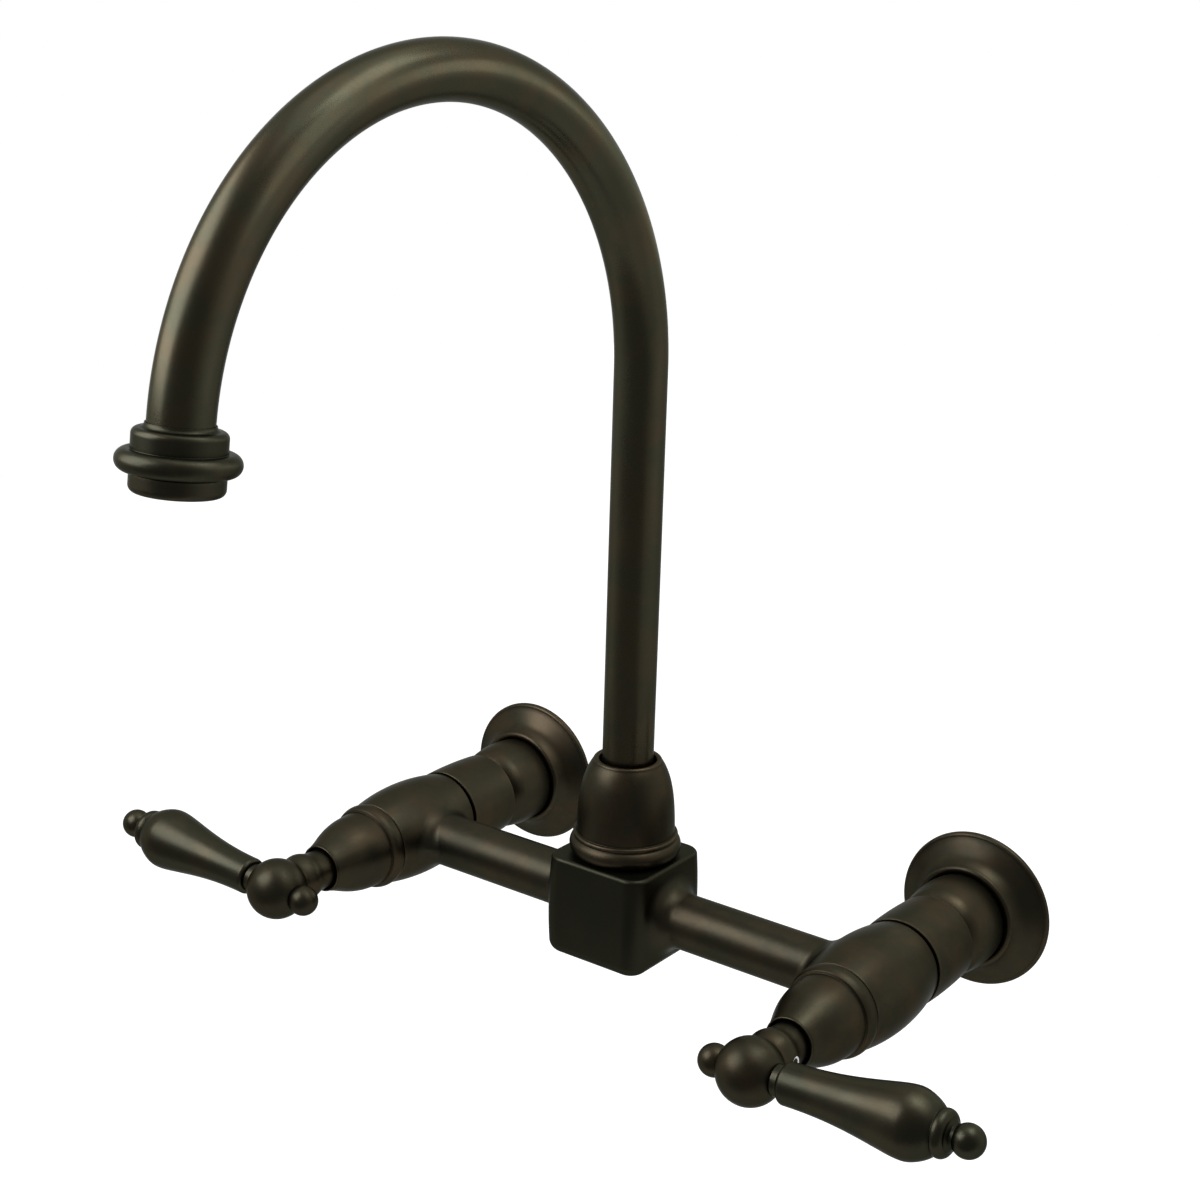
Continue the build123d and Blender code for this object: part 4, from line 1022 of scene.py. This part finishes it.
# ------------------------------------------------------------------ floor, light and camera
def make_floor():
    """Pale floor well below the faucet, which hangs from its wall.

    It ends a little way in front, so that the dim front of the studio shows in the metal.
    The camera sees it near white; reflections and clear materials see half of that glow.
    """
    half_width, front, back, height = 1.6, -0.5, 2.4, -0.3
    paint, glow, mirrored_share = (0.36, 0.36, 0.36, 1), 0.86, 0.5
    corners = ((-half_width, front), (half_width, front), (half_width, back), (-half_width, back))
    mesh = bpy.data.meshes.new("floor")
    mesh.from_pydata([(x, y, height) for x, y in corners], [], [(0, 1, 2, 3)])
    floor = bpy.data.objects.new("floor", mesh)
    bpy.context.collection.objects.link(floor)
    material = bpy.data.materials.new("pale_floor")
    material.use_nodes = True
    tree = material.node_tree
    shader = tree.nodes["Principled BSDF"]
    shader.inputs["Base Color"].default_value = paint
    shader.inputs["Roughness"].default_value = 0.9
    shader.inputs["Specular IOR Level"].default_value = 0.1
    shader.inputs["Emission Color"].default_value = (1, 1, 1, 1)
    rays = add_node(tree, "ShaderNodeLightPath").outputs
    mirrored = combined(tree, "MAXIMUM", rays["Is Glossy Ray"], rays["Is Transmission Ray"])
    mirrored = combined(tree, "MULTIPLY", mirrored, mirrored_share)
    seen = combined(tree, "MAXIMUM", rays["Is Camera Ray"], mirrored)
    strength = combined(tree, "MULTIPLY", seen, glow)
    tree.links.new(strength, shader.inputs["Emission Strength"])
    mesh.materials.append(material)


def make_softbox(name, where, aim, width, height, power, colour):
    """Rectangular area lamp that looks at a point; places and sizes are in metres."""
    lamp = bpy.data.lights.new(name, "AREA")
    lamp.shape = "RECTANGLE"
    lamp.size, lamp.size_y, lamp.energy, lamp.color = width, height, power, colour
    box = bpy.data.objects.new(name, lamp)
    box.visible_camera = False
    bpy.context.collection.objects.link(box)
    turn = (Vector(aim) - Vector(where)).to_track_quat("-Z", "Y")
    box.matrix_world = Matrix.Translation(where) @ turn.to_matrix().to_4x4()


def make_world():
    """White behind and beside the faucet, also in its reflections, and dim in front of it.

    The camera and clear materials see white wherever they look.
    """
    dim_side, dimmest = (0.34, -0.94, 0.05), 0.24
    world = bpy.data.worlds.new("studio")
    bpy.context.scene.world = world
    world.use_nodes = True
    tree = world.node_tree
    background = tree.nodes["Background"]
    background.inputs["Color"].default_value = (1, 1, 1, 1)
    heading = add_node(tree, "ShaderNodeTexCoord").outputs["Generated"]
    frontness = add_node(tree, "ShaderNodeVectorMath", operation="DOT_PRODUCT")
    frontness.inputs[1].default_value = dim_side
    tree.links.new(heading, frontness.inputs[0])
    shade = scaled(tree, frontness.outputs["Value"], -0.3, 0.8, 1, dimmest)
    rays = add_node(tree, "ShaderNodeLightPath").outputs
    seen = combined(tree, "MAXIMUM", rays["Is Camera Ray"], rays["Is Transmission Ray"])
    tree.links.new(combined(tree, "MAXIMUM", shade, seen), background.inputs["Strength"])


def make_camera():
    """Camera of the photograph: turned, pitched down and rolled a little.

    It looks from a distance at an aim, both in metres; the focal length is in pixels of
    the photograph.
    """
    azimuth, pitch, roll = np.radians([36.25, 17.42, 1.65])
    distance, aim = 0.76568, np.array([-0.02704, -0.060, 0.1037])
    photo_pixels, focal_pixels, sensor_width = 1200, 2128.95, 36.0
    level = np.array([np.cos(azimuth), np.sin(azimuth), 0])
    ahead = np.array([-np.sin(azimuth), np.cos(azimuth), 0])
    forward = ahead * np.cos(pitch) - np.array([0, 0, np.sin(pitch)])
    upright = np.cross(level, forward)
    right = level * np.cos(roll) + upright * np.sin(roll)
    up = upright * np.cos(roll) - level * np.sin(roll)
    lens = bpy.data.cameras.new("camera")
    lens.sensor_width = sensor_width
    lens.lens = focal_pixels / photo_pixels * sensor_width
    camera = bpy.data.objects.new("camera", lens)
    bpy.context.collection.objects.link(camera)
    turn = np.eye(4)
    turn[:3, :3] = np.stack([right, up, -forward], 1)
    turn[:3, 3] = aim - forward * distance
    camera.matrix_world = Matrix(turn.tolist())
    bpy.context.scene.camera = camera


make_floor()
make_world()
at_arch, neutral = (0, -0.17, 0.28), (1, 1, 1)
for softbox in (
    # name, where, aim, width, height, watts, colour
    ("key_left", (-0.31, -0.515, 0.45), (0, -0.22, 0.20), 0.48, 0.46, 4.1, (0.98, 1, 1.12)),
    ("top", (0.10, 0.10, 1.50), (0, -0.1, 0.1), 1.2, 1.0, 3.5, (0.95, 1, 1.07)),
    ("arch_right", (0.25, 0.03, 0.80), at_arch, 0.3, 0.3, 1.2, (0.95, 1, 1.05)),
    ("near_right", (0.31, -0.12, 0.46), at_arch, 0.22, 0.26, 0.25, neutral),
    ("near_back", (0.21, 0.07, 0.35), at_arch, 0.16, 0.14, 0.15, neutral),
    ("low_back", (0.10, 0.62, 0.30), (0, -0.12, 0.18), 0.5, 0.25, 0.4, neutral),
):
    make_softbox(*softbox)
make_camera()
bpy.context.scene.view_settings.view_transform = "Standard"
